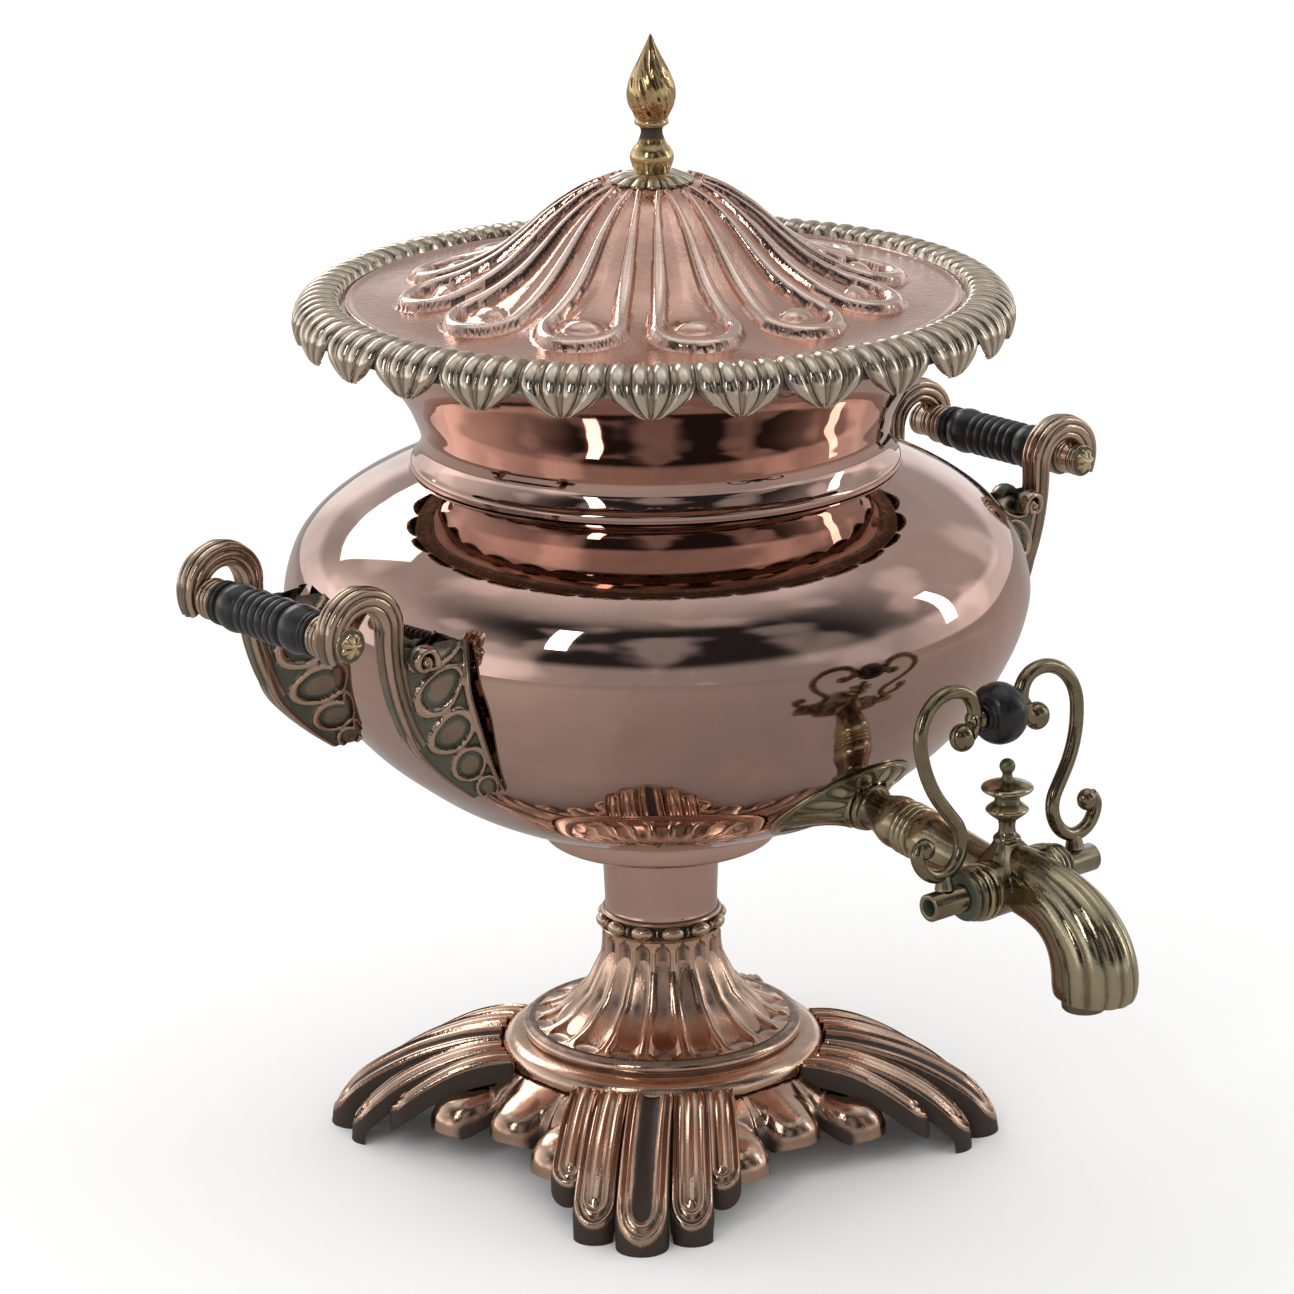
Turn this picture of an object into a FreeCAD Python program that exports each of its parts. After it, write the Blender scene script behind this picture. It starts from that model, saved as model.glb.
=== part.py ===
import FreeCAD, Part
import math
import os

# Copper tea urn with a brass tap, a lift-off lid and a hot-iron heater.
# Origin: on the table, under the axis of the body. +Z up, tap towards -Y, handles at -X and +X.

V = FreeCAD.Vector
X_AXIS, Y_AXIS, Z_AXIS = V(1, 0, 0), V(0, 1, 0), V(0, 0, 1)
ORIGIN = V(0, 0, 0)

# Clearances
seat_gap = 0.1          # between a curved piece and the shell it is soldered to
running_gap = 0.05      # radial, a turning piece in its bore
sliding_gap = 0.6       # radial, a lifting piece in its seat
turn_gap = 0.3          # axial, beside a turning piece

# Foot
leaf_count = 4
foot_top_z = 31.0
foot_wall = 3.0
foot_hole_r = 40.0
leaf_skirt = 4.2
toe_start_r, toe_slant, toe_top_z = 119.0, 6.0, 13.0
lobe_start = 58.0
main_lobe_start_half, main_lobe_reach, main_lobe_r = 8.0, 132.0, 9.5
side_lobe_start, side_lobe_start_half = 13.5, 6.0
side_lobe_reach, side_lobe_r, side_lobe_offset = 119.0, 7.0, 18.0
outer_lobe_start, outer_lobe_start_half = 21.5, 4.6
outer_lobe_reach, outer_lobe_r, outer_lobe_offset = 88.5, 5.5, 28.0
lobe_rim_height, lobe_rim_width = 1.3, 2.0
web_r = 72.0
middle_scallop_reach, middle_scallop_r = 80.0, 11.0
edge_scallop_reach, edge_scallop_r, edge_scallop_angle = 87.0, 9.0, 20.0
crown_r, crown_bevel = 57.0, 0.2
# tops of the leaves and of the web, as distance from the axis and height
leaf_arch = [(56.0, foot_top_z), (66.0, 30.6), (82.0, 27.6), (98.0, 22.4), (112.0, 16.0),
             (124.0, 9.6), (134.0, 3.4)]
web_arch = [(56.0, foot_top_z), (63.0, 30.0), (71.0, 25.0), (79.5, 16.6), (90.0, 10.0)]

# Ring of mouldings on the foot
ring_r, ring_bead_r = 56.5, 6.5
ring_height = 15.5
upper_bead_r = 2.5
upper_bead_ring_r = 52.0
ring_hole_r = 44.0

# Fluted stem
stem_flare_r = 34.3
stem_neck_r = 22.9
stem_height = 37.5
stem_wall = 2.6
flute_count = 18
flute_top_half, flute_low_half = 2.6, 4.9
flute_top_depth, flute_low_depth = 1.3, 1.7

# Beaded collar
collar_height = 8.6
collar_lip = 1.6
bead_count = 12
bead_long, bead_out, bead_high = 4.9, 3.2, 2.9

# Spigot and dish under the body
spigot_low_r, spigot_top_r = 22.0, 22.8
spigot_wall = 1.6
dish_r, dish_wall = 45.3, 2.0
dish_gap = 0.4          # between the dish's lip and the body's curve
dish_bottom_z = 121.5

# Body and neck
body_wall = 1.2
body_bottom_z = 126.0
body_flat_r = 34.0
body_max_r, body_max_z = 142.7, 226.0
body_top_r, body_top_z = 92.6, 272.0
body_lip_r = 88.0
body_floor_z = body_bottom_z + body_wall
neck_corner_r, neck_corner_z = 93.2, 274.6
neck_waist_r, neck_waist_z = 89.0, 282.0
neck_top_r = 117.0

# Rim, ledge and border
lid_seat_z = 335.0
ledge_wall = 1.5
ledge_inner_r = 106.0
ledge_outer_r = 121.0
border_r = 136.0
border_inner_r = 118.0
border_crest = 4.0
border_drop = 10.5
border_wall = 2.2
scallop_count = 26
scallop_cut_r, scallop_rise = 12.5, 6.5

# Heater sleeve and heater
sleeve_r, sleeve_wall = 31.0, 1.5
sleeve_top_z = 296.0
sleeve_floor_z = 136.0
slug_r, slug_length = 26.0, 96.0
slug_stem_r, slug_stem_length = 3.0, 34.0
slug_ring_r, slug_ring_wire = 8.0, 2.2
slug_hole_depth = 12.0
cover_r, cover_wall, cover_spigot = 34.0, 2.0, 5.0
cover_knob_r, cover_knob_height = 5.5, 7.5

# Lid
lid_r = 116.5
lid_wall = 1.2
lid_flange_z = 336.4
lid_edge_height = 0.6
lid_dome_r = 104.0
lid_top_r, lid_top_z = 15.0, 380.0
lid_hole_r = 3.2
lobe_count = 12
lobe_height = 2.4
lobe_start_r, lobe_start_half = 20.0, 2.3
lobe_end_r, lobe_end_half = 98.0, 17.5
lobe_ridge = 5.2
boss_long, boss_wide, boss_high = 6.6, 4.6, 2.4
bezel_wall, bezel_depth = 1.2, 10.0
rosette_r, rosette_height = 16.5, 3.6
petal_count = 14
finial_bud_r, finial_bud_z = 9.3, 413.5
finial_tip_z, finial_tip_r = 436.0, 0.9
finial_stud_r = 3.0

# Handles
handle_plane = 41.5
bracket_width = 10.0
boss_half = 5.6
bracket_depth = 10.4
reed_depth, edge_round = 1.0, 1.6
arch_x, arch_z, arch_r = 176.5, 247.3, 13.2
grip_x, grip_z = 184.5, 246.5
boss_r = 6.2
boss_dome = 1.6
grip_r, grip_waist_r = 8.6, 7.2
ferrule_length, ferrule_r = 7.0, 7.9
handle_rod_r = 2.5
handle_bore_r = handle_rod_r + seat_gap
stem_curve_r, stem_turn = 80.0, 34.0
arch_turn = 210.0
leaf_bury = 16.0
leaf_hollow_depth, leaf_hollow_width = 0.58, 0.34    # where each hollow flank passes, as shares
# height, rib's reach, rib's half width, and the leaf's half widths towards and away from the middle
leaf_levels = [
    (236.5, 162.0, 3.0, 9.0, 5.0), (223.0, 161.5, 3.2, 21.0, 6.5), (210.0, 157.5, 3.4, 27.0, 7.5),
    (198.0, 155.5, 3.4, 25.0, 7.5), (186.0, 142.0, 2.8, 16.0, 5.5), (171.5, 119.5, 1.6, 4.0, 2.5),
]

# Tap
tube_y, tube_z = -193.2, 151.3
shank_drop = 8.0        # degrees, the shank falls towards the barrel
barrel_r, barrel_half = 10.6, 15.0
plug_r, plug_tube_r, plug_half = 7.0, 5.1, 41.5
waterway_r = 3.6
tube_socket_r, tube_socket_depth = 2.9, 5.5
gland_r, gland_length, gland_rings, gland_step = 10.4, 10.0, 3, 0.6
tower_top_z, tower_top_r = 167.0, 5.0
tower_neck, tower_flare = 5.0, 3.2
screw_y = -190.8
screw_stem_r, screw_hole_depth = 3.3, 7.0
screw_disc_r, screw_ball_r = 9.3, 2.8
shank_front = 4.0       # distances back from the plug's axis along the shank
shank_rings = 48.0
shank_start = 76.0
shank_tail = 116.0
shank_tail_r, shank_ring_r = 6.5, 8.9
shank_waist_r, shank_bulge_r, shank_end_r = 7.2, 9.7, 10.3
escutcheon_z, escutcheon_r, escutcheon_throat_r = 161.0, 29.0, 14.0
back_nut_r, back_nut_length = 11.0, 8.0
spout_mouth_z = 118.4
bend_r = 16.0
nozzle_reach = 37.3
nozzle_r, nozzle_bore_r, nozzle_bottom_z = 8.2, 5.0, 113.0
nozzle_neck_r, nozzle_neck = 6.8, 8.0
open_angle = 65.0       # degrees, the lever falls forward to open the tap

# Lever
lever_lean = 6.4        # degrees, the lyre leans back when the tap is shut
arm_r = 2.6
lower_ball_r, upper_ball_r = 3.8, 5.0
lever_ball_r, lever_ball_half, lever_ball_h = 11.4, 8.6, 62.8
lever_ball_gap = 5.4    # thickness of the arm's boss beside the ball
arm_boss_r = 4.0
lever_pin_r, lever_pin_depth = 1.2, 4.4    # the pin's depth in each arm
arm_foot_x, arm_foot_height = 33.0, 10.0

# Tie rod that holds the body on the foot
rod_r = 4.0
rod_gap = 0.3           # radial, where the rod passes through plates
rod_head_r, rod_head_height = 11.0, 4.0
rod_washer_r = 10.0
clamp_r, clamp_wall = 46.0, 2.5
rod_nut_across, rod_nut_height = 14.0, 6.0


def xz(r, z):
    """A point of a profile: radius and height."""
    return V(r, 0, z)


def line(a, b):
    return Part.LineSegment(a, b).toShape()


def arc(a, b, c):
    return Part.Arc(a, b, c).toShape()


def spline(points, start=None, end=None):
    """A smooth edge through a few points, with its end directions where they are given."""
    curve = Part.BSplineCurve()
    if start and end:
        curve.interpolate(Points=points, InitialTangent=start, FinalTangent=end)
    else:
        curve.interpolate(Points=points)
    return curve


def turned(edges, base=ORIGIN, axis=Z_AXIS, angle=360.0):
    """The solid that a closed profile sweeps about an axis."""
    face = Part.Face(Part.Wire(edges))
    return face.revolve(base, axis, angle)


def polygon(points):
    return [line(a, b) for a, b in zip(points, points[1:] + points[:1]) if (a - b).Length > 1e-6]


def turned_polygon(pairs, base=ORIGIN, axis=Z_AXIS):
    return turned(polygon([xz(r, z) for r, z in pairs]), base, axis)


def cylinder(radius, height, base=ORIGIN, axis=Z_AXIS):
    return Part.makeCylinder(radius, height, base, axis)


def fuse_all(shapes):
    return shapes[0].multiFuse(shapes[1:]).removeSplitter() if len(shapes) > 1 else shapes[0]


def around(shape, count, start=0.0):
    """Copies of a shape, evenly spaced about the urn's axis."""
    return [turned_copy(shape, start + 360.0 * i / count) for i in range(count)]


def turned_copy(shape, degrees, base=ORIGIN, axis=Z_AXIS):
    copy = shape.copy()
    copy.rotate(base, axis, degrees)
    return copy


def mirrored(shape, normal=X_AXIS):
    return shape.mirror(ORIGIN, normal)


def offset_curve(curve, distance, count=14):
    """A spline beside a profile's curve: distance is to the right of its direction of travel."""
    first, last = curve.FirstParameter, curve.LastParameter
    points = []
    for i in range(count + 1):
        u = first + (last - first) * i / count
        t = curve.tangent(u)[0]
        points.append(curve.value(u) + V(t.z, 0, -t.x) * distance)
    return spline(points)


def tapered_slot(start_u, start_half, end_u, end_half, end_w=0.0, start_w=0.0):
    """A plan outline that widens from a straight start to a round end, along local u with w across."""
    centre = V(end_u - end_half, end_w, 0)
    along = (centre - V(start_u, start_w, 0))
    along.normalize()
    side = V(-along.y, along.x, 0)
    a = V(start_u, start_w, 0) + side * start_half
    b = centre + side * end_half
    c = centre + along * end_half
    d = centre - side * end_half
    e = V(start_u, start_w, 0) - side * start_half
    return Part.Face(Part.Wire([line(a, b), arc(b, c, d), line(d, e), line(e, a)]))


def prism(face, low, high):
    copy = face.copy()
    copy.translate(V(0, 0, low))
    return copy.extrude(V(0, 0, high - low))


def in_xz(u, v):
    return V(u, 0, v)


def bent_bar(section, start, heading, steps, place=in_xz, out=Y_AXIS * -1):
    """A bar of tangent bends and runs in a plane: each step is (radius, turn in degrees) or (length,).

    The section is a function of a point and a heading that gives a face. Also returns the last point.
    """
    bars, here, angle = [], start, heading
    for step in steps:
        face = section(place(*here), angle)
        direction = (math.cos(math.radians(angle)), math.sin(math.radians(angle)))
        if len(step) == 1:
            there = (here[0] + step[0] * direction[0], here[1] + step[0] * direction[1])
            bars.append(face.extrude(place(*there) - place(*here)))
        else:
            radius, turn = step
            reach = math.copysign(radius, turn)
            centre = (here[0] - reach * direction[1], here[1] + reach * direction[0])
            bars.append(face.revolve(place(*centre), out, turn))
            end = math.atan2(here[1] - centre[1], here[0] - centre[0]) + math.radians(turn)
            there = (centre[0] + radius * math.cos(end), centre[1] + radius * math.sin(end))
            angle += turn
        here = there
    return fuse_all(bars), here


def round_section(radius, out=Y_AXIS * -1, across=X_AXIS):
    """A round face square to a heading in the plane that out is normal to."""
    def section(point, angle):
        direction = turned_copy(Part.makeLine(ORIGIN, across), angle, ORIGIN, out).Vertexes[1].Point
        return Part.Face(Part.Wire(Part.Circle(point, direction, radius).toShape()))
    return section


# Profiles of the body, neck, border and lid, shared by the pieces that meet them

body_points = [
    (body_flat_r, body_bottom_z), (48.0, 130.4), (65.7, 136.6), (84.0, 145.4), (98.4, 155.2),
    (113.0, 167.2), (126.5, 182.8), (136.9, 200.3), (142.0, 214.5), (body_max_r, body_max_z),
    (138.3, 240.8), (130.6, 251.0), (119.4, 259.6), (106.0, 266.6), (body_top_r, body_top_z),
]
body_curve = spline([xz(r, z) for r, z in body_points], V(1, 0, 0.1), V(-1, 0, 0.42))
neck_points = [
    (neck_corner_r, neck_corner_z), (neck_waist_r, neck_waist_z), (90.3, 289.0), (94.2, 297.5),
    (100.0, 306.5), (107.0, 317.0), (neck_top_r, lid_seat_z + 1.0),
]
neck_curve = spline([xz(r, z) for r, z in neck_points])


def body_solid(grow=0.0):
    """The whole volume inside the body's outer face, grown by a clearance."""
    curve = offset_curve(body_curve, grow) if grow else body_curve
    a, b = curve.value(curve.FirstParameter), curve.value(curve.LastParameter)
    top, bottom = xz(0, b.z), xz(0, a.z - grow)
    edges = [curve.toShape(), line(b, top), line(top, bottom)]
    edges.append(line(bottom, xz(a.x, a.z - grow)))
    if grow:
        edges.append(line(xz(a.x, a.z - grow), a))
    return turned(edges)


# Foot

def leaf_lobes(inset=0.0):
    """The five rounded lobes of one leaf, as plan outlines along +X."""
    lobes = [tapered_slot(lobe_start, main_lobe_start_half - inset, main_lobe_reach - inset,
                          main_lobe_r - inset)]
    for side in (-1, 1):
        lobes.append(tapered_slot(lobe_start, side_lobe_start_half - inset, side_lobe_reach - inset,
                                  side_lobe_r - inset, side * side_lobe_offset, side * side_lobe_start))
        lobes.append(tapered_slot(lobe_start, outer_lobe_start_half - inset, outer_lobe_reach - inset,
                                  outer_lobe_r - inset, side * outer_lobe_offset, side * outer_lobe_start))
    return lobes


def arch_band(points, wall, rise=0.0):
    """A spun wall of even depth under an arched line, with its top raised by a little."""
    top = spline([xz(r, z + rise) for r, z in points])
    low = spline([xz(r, z - wall) for r, z in points])
    a, b = top.value(top.FirstParameter), top.value(top.LastParameter)
    c, d = low.value(low.FirstParameter), low.value(low.LastParameter)
    return turned([top.toShape(), line(b, d), low.toShape(), line(c, a)])


def toe_block():
    """The volume of the toes, from the arch down to the table."""
    inner_r = toe_start_r - toe_slant
    end_r, end_z = leaf_arch[-1]
    return turned_polygon([(inner_r, toe_top_z), (toe_start_r, 0.0), (end_r, 0.0), (end_r, end_z)])


def leaf():
    """One leaf along +X, with raised rims round its lobes."""
    outline = fuse_all([prism(face, -1.0, 60.0) for face in leaf_lobes()])
    inside = fuse_all([prism(face, -2.0, 70.0) for face in leaf_lobes(lobe_rim_width)])
    body = fuse_all([arch_band(leaf_arch, leaf_skirt), toe_block()]).common(outline)
    rims = arch_band(leaf_arch, leaf_skirt / 2, lobe_rim_height).common(outline.cut(inside))
    return body.fuse(rims)


def scallop(angle, reach, radius):
    """Plan of one scallop of the web between two leaves."""
    out = reach - radius
    a = math.radians(angle)
    return cylinder(radius, 40.0, V(out * math.cos(a), out * math.sin(a), 0))


def foot_plate():
    """Cast foot: four five-lobed leaves that arch down to the table, with plain scallops between."""
    discs = [cylinder(web_r, 40.0)]
    for quarter in range(leaf_count):
        middle = 90.0 * quarter
        discs.append(scallop(middle, middle_scallop_reach, middle_scallop_r))
        for side in (-1, 1):
            discs.append(scallop(middle + side * edge_scallop_angle, edge_scallop_reach, edge_scallop_r))
    web = arch_band(web_arch, foot_wall).common(fuse_all(discs))
    low_z = foot_top_z - foot_wall
    crown = turned_polygon([(foot_hole_r, low_z), (crown_r, low_z), (crown_r, foot_top_z - crown_bevel),
                            (leaf_arch[0][0], foot_top_z), (foot_hole_r, foot_top_z)])
    return fuse_all([crown, web] + around(leaf(), leaf_count, 45.0))


def foot_ring():
    """Turned ring of mouldings: a broad half-round, a step and a small bead."""
    z0 = foot_top_z
    top = z0 + ring_height
    edges = [line(xz(ring_hole_r, z0), xz(ring_r + 2.0, z0))]
    edges.append(arc(xz(ring_r + 2.0, z0), xz(ring_r + ring_bead_r, z0 + 5.4), xz(ring_r - 0.6, z0 + 10.6)))
    edges.append(line(xz(ring_r - 0.6, z0 + 10.6), xz(ring_r - 2.0, z0 + 10.6)))
    bead_z = top - upper_bead_r
    edges.append(line(xz(ring_r - 2.0, z0 + 10.6), xz(upper_bead_ring_r, bead_z - upper_bead_r)))
    edges.append(arc(xz(upper_bead_ring_r, bead_z - upper_bead_r),
                     xz(upper_bead_ring_r + upper_bead_r, bead_z), xz(upper_bead_ring_r, top)))
    edges.append(line(xz(upper_bead_ring_r, top), xz(ring_hole_r, top)))
    edges.append(line(xz(ring_hole_r, top), xz(ring_hole_r, z0)))
    return turned(edges)


stem_bottom_z = foot_top_z + ring_height
stem_top_z = stem_bottom_z + stem_height
flare_centre = (stem_neck_r + stem_flare_r, stem_top_z - 4.0)


def stem_point(angle, grow=0.0):
    """A point of the stem's flare: 180 degrees is its neck, and the angle grows as it falls."""
    a = math.radians(angle)
    r = stem_flare_r + grow
    return xz(flare_centre[0] + r * math.cos(a), flare_centre[1] + r * math.sin(a))


def pedestal_stem():
    """Hollow flared stem with round-ended flutes."""
    drop = math.asin((flare_centre[1] - stem_bottom_z) / stem_flare_r)
    end = 180.0 + math.degrees(drop)
    inner = stem_flare_r + stem_wall
    inner_end = 180.0 + math.degrees(math.asin((flare_centre[1] - stem_bottom_z) / inner))
    outer_low, inner_low = stem_point(end), stem_point(inner_end, stem_wall)
    edges = [line(xz(stem_neck_r, stem_top_z), stem_point(180.0))]
    edges.append(arc(stem_point(180.0), stem_point((180.0 + end) / 2), outer_low))
    edges.append(line(outer_low, inner_low))
    edges.append(arc(inner_low, stem_point((180.0 + inner_end) / 2, stem_wall), stem_point(180.0, stem_wall)))
    edges.append(line(stem_point(180.0, stem_wall), xz(stem_neck_r - stem_wall, stem_top_z)))
    edges.append(line(xz(stem_neck_r - stem_wall, stem_top_z), xz(stem_neck_r, stem_top_z)))
    stem = turned(edges)
    sections = []
    first, last, steps = 181.0, end - 11.0, 3
    for i in range(steps + 1):
        part = i / steps
        angle = first + (last - first) * part
        half = flute_top_half + (flute_low_half - flute_top_half) * part ** 1.3
        depth = flute_top_depth + (flute_low_depth - flute_top_depth) * part
        radius = (half * half + depth * depth) / (2 * depth)
        lift = depth - radius
        centre = stem_point(angle, lift)
        a = math.radians(angle)
        tangent = V(-math.sin(a), 0, math.cos(a))
        sections.append(Part.Wire(Part.Circle(centre, tangent, radius).toShape()))
        tip = Part.makeSphere(radius, centre)
    flute = Part.makeLoft(sections, True).fuse(tip)
    return stem.cut(fuse_all(around(flute, flute_count, -90.0)))


def bead_collar():
    """Collar with a thin lip above a row of long beads."""
    z0 = stem_top_z
    core = turned_polygon([(spigot_low_r - spigot_wall, z0), (stem_neck_r + 0.2, z0),
                           (stem_neck_r + 0.2, z0 + collar_height - collar_lip),
                           (spigot_low_r + 1.2, z0 + collar_height - collar_lip),
                           (spigot_low_r + 1.2, z0 + collar_height), (spigot_low_r - spigot_wall, z0 + collar_height)])
    bead = Part.makeSphere(1.0)
    matrix = FreeCAD.Matrix()
    matrix.scale(bead_out, bead_long, bead_high)
    bead = bead.transformGeometry(matrix)
    bead.translate(V(stem_neck_r - 0.3, 0, z0 + (collar_height - collar_lip) / 2 + 0.3))
    return fuse_all([core] + around(bead, bead_count, -90.0))


collar_top_z = stem_top_z + collar_height
dish_top_z = dish_bottom_z + dish_wall


def pedestal_spigot():
    z0, z1 = collar_top_z, dish_bottom_z
    return turned_polygon([(spigot_low_r - spigot_wall, z0), (spigot_low_r, z0), (spigot_top_r, z1 - 4.0),
                           (spigot_top_r + 1.4, z1), (spigot_top_r - spigot_wall, z1)])


def body_height(radius):
    """The height of the body's outer curve, below its widest part, at a radius."""
    edge = body_curve.toShape()
    upright = line(xz(radius, body_bottom_z - 5.0), xz(radius, body_max_z - 40.0))
    return edge.distToShape(upright)[1][0][0].z


def body_dish():
    """Dished collar that carries the body on the spigot."""
    inner_r = dish_r - dish_wall
    return turned_polygon([(rod_r + rod_gap, dish_bottom_z), (dish_r - 2.0, dish_bottom_z),
                           (dish_r, dish_bottom_z + 1.5), (dish_r, body_height(dish_r) - dish_gap),
                           (inner_r, body_height(inner_r) - dish_gap), (inner_r, dish_top_z),
                           (rod_r + rod_gap, dish_top_z)])


# Vessel

def urn_body():
    """Spun vessel, open at its mouth, with holes for the tie rod and the tap."""
    inner = offset_curve(body_curve, -body_wall)
    a, b = body_curve.value(body_curve.FirstParameter), body_curve.value(body_curve.LastParameter)
    c, d = inner.value(inner.FirstParameter), inner.value(inner.LastParameter)
    hole = rod_r + rod_gap
    floor = body_floor_z
    lip = xz(body_lip_r, body_top_z)
    edges = [body_curve.toShape(), line(b, lip), line(lip, xz(body_lip_r, body_top_z - body_wall)),
             line(xz(body_lip_r, body_top_z - body_wall), d), inner.toShape(), line(c, xz(hole, floor)),
             line(xz(hole, floor), xz(hole, body_bottom_z)), line(xz(hole, body_bottom_z), a)]
    return turned(edges).cut(along_shank(shank_tail_r + seat_gap, shank_start, shank_tail))


def urn_neck():
    """Flared neck, with a turned-in foot that sits on the body's mouth."""
    inner = offset_curve(neck_curve, -body_wall)
    a, b = neck_curve.value(neck_curve.FirstParameter), neck_curve.value(neck_curve.LastParameter)
    c, d = inner.value(inner.FirstParameter), inner.value(inner.LastParameter)
    z = body_top_z
    edges = [neck_curve.toShape(), line(b, d), inner.toShape(), line(c, xz(body_lip_r, z + body_wall)),
             line(xz(body_lip_r, z + body_wall), xz(body_lip_r, z)), line(xz(body_lip_r, z), xz(a.x, z)),
             line(xz(a.x, z), a)]
    return turned(edges).cut(cylinder(200.0, 20.0, V(0, 0, lid_seat_z - ledge_wall)))


def rim_ledge():
    return turned_polygon([(ledge_inner_r, lid_seat_z - ledge_wall), (ledge_outer_r, lid_seat_z - ledge_wall),
                           (ledge_outer_r, lid_seat_z), (ledge_inner_r, lid_seat_z)])


def rim_border():
    """Cast border: a half-round that turns down outside to a scalloped edge."""
    crest_r = border_inner_r + 8.0
    top = lid_seat_z + border_crest
    low = lid_seat_z - border_drop
    outer = spline([xz(border_inner_r, lid_seat_z + 1.2), xz(border_inner_r + 2.4, lid_seat_z + 3.0),
                    xz(crest_r, top), xz(border_r - 3.0, lid_seat_z + 1.2), xz(border_r, lid_seat_z - 4.0),
                    xz(border_r - 1.0, low)])
    inner = spline([xz(border_r - 1.0 - border_wall, low), xz(border_r - border_wall, lid_seat_z - 4.2),
                    xz(border_r - 5.4, lid_seat_z), xz(crest_r + 1.0, top - border_wall - 0.4),
                    xz(border_inner_r + 3.0, lid_seat_z)])
    edges = [outer.toShape(), line(xz(border_r - 1.0, low), xz(border_r - 1.0 - border_wall, low)),
             inner.toShape(), line(xz(border_inner_r + 3.0, lid_seat_z), xz(border_inner_r, lid_seat_z)),
             line(xz(border_inner_r, lid_seat_z), xz(border_inner_r, lid_seat_z + 1.2))]
    border = turned(edges)
    notch = cylinder(scallop_cut_r, 20.0, V(border_r - 14.0, 0, low + scallop_rise - scallop_cut_r), X_AXIS)
    return border.cut(fuse_all(around(notch, scallop_count, -90.0)))


def heater_sleeve():
    floor = body_floor_z
    return turned_polygon([(sleeve_r - sleeve_wall, floor), (sleeve_r, floor), (sleeve_r, sleeve_top_z),
                           (sleeve_r - sleeve_wall, sleeve_top_z), (sleeve_r - sleeve_wall, sleeve_floor_z),
                           (0, sleeve_floor_z), (0, sleeve_floor_z - sleeve_wall),
                           (sleeve_r - sleeve_wall, sleeve_floor_z - sleeve_wall)])


# Heater, lifted out hot with a hook

slug_top_z = sleeve_floor_z + slug_length


def heater_slug():
    z0, z1 = sleeve_floor_z, slug_top_z
    hole = slug_stem_r + seat_gap
    return turned_polygon([(0, z0), (slug_r - 3.0, z0), (slug_r, z0 + 3.0), (slug_r, z1 - 5.0),
                           (slug_r - 5.0, z1), (hole, z1), (hole, z1 - slug_hole_depth),
                           (0, z1 - slug_hole_depth)])


def slug_eye():
    """Lifting eye, screwed into the slug's head."""
    stem = cylinder(slug_stem_r, slug_stem_length + slug_hole_depth, V(0, 0, slug_top_z - slug_hole_depth))
    ring = Part.makeTorus(slug_ring_r, slug_ring_wire, V(0, 0, slug_top_z + slug_stem_length + slug_ring_r), X_AXIS)
    return stem.fuse(ring)


def heater_cover():
    z0 = sleeve_top_z
    spigot = sleeve_r - sleeve_wall - sliding_gap
    plate = turned_polygon([(0, z0), (spigot - 1.5, z0), (spigot - 1.5, z0 - cover_spigot),
                            (spigot, z0 - cover_spigot), (spigot, z0), (cover_r, z0),
                            (cover_r, z0 + cover_wall), (0, z0 + cover_wall)])
    knob_z = z0 + cover_wall
    neck = cylinder(cover_knob_r / 2, cover_knob_height, xz(0, knob_z))
    knob = neck.fuse(Part.makeSphere(cover_knob_r, xz(0, knob_z + cover_knob_height)))
    return plate.fuse(knob)


# Lid

dome_points = [(lid_top_r, lid_top_z), (22.0, 378.4), (30.0, 374.4), (40.0, 366.9), (50.0, 357.6),
               (60.0, 349.9), (72.0, 343.7), (85.0, 339.6), (95.0, 337.5), (lid_dome_r, 336.6)]


def dome_band(low, high):
    """The dome's spun wall between two offsets from its outer face."""
    curve = spline([xz(r, z) for r, z in dome_points], V(1, 0, -0.1), V(1, 0, 0))
    outer, inner = offset_curve(curve, -high), offset_curve(curve, -low)
    a, b = outer.value(outer.FirstParameter), outer.value(outer.LastParameter)
    c, d = inner.value(inner.FirstParameter), inner.value(inner.LastParameter)
    return turned([outer.toShape(), line(b, d), inner.toShape(), line(c, a)])


def lid_shell():
    """Pressed lid: flat flange, ogee dome and twelve long U-shaped lobes with a boss in each."""
    dome = dome_band(-lid_wall, 0.0)
    lap_r = lid_dome_r - 2.0
    flange = turned_polygon([(lap_r, lid_seat_z), (lid_r, lid_seat_z), (lid_r, lid_flange_z + lid_edge_height),
                             (lid_r - 1.2, lid_flange_z + lid_edge_height), (lid_r - 2.4, lid_flange_z),
                             (lap_r, lid_flange_z)])
    crown = turned_polygon([(lid_hole_r, lid_top_z - lid_wall), (lid_top_r + 2.0, lid_top_z - lid_wall),
                            (lid_top_r, lid_top_z), (lid_hole_r, lid_top_z)])
    shape = fuse_all([dome, flange, crown])
    outer = prism(tapered_slot(lobe_start_r, lobe_start_half, lobe_end_r, lobe_end_half), 300.0, 400.0)
    inner = prism(tapered_slot(lobe_start_r + 14.0, 0.6, lobe_end_r - lobe_ridge, lobe_end_half - lobe_ridge),
                  290.0, 410.0)
    ridge = dome_band(-lid_wall / 2, lobe_height).common(outer.cut(inner))
    boss = Part.makeSphere(1.0)
    matrix = FreeCAD.Matrix()
    matrix.scale(boss_wide, boss_long, boss_high)
    boss = boss.transformGeometry(matrix)
    boss.translate(V(lobe_end_r - lobe_end_half - 1.0, 0, 340.2))
    boss = boss.common(dome_band(-lid_wall / 2, 6.0))
    lobe = ridge.fuse(boss)
    return fuse_all([shape] + around(lobe, lobe_count))


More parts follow.
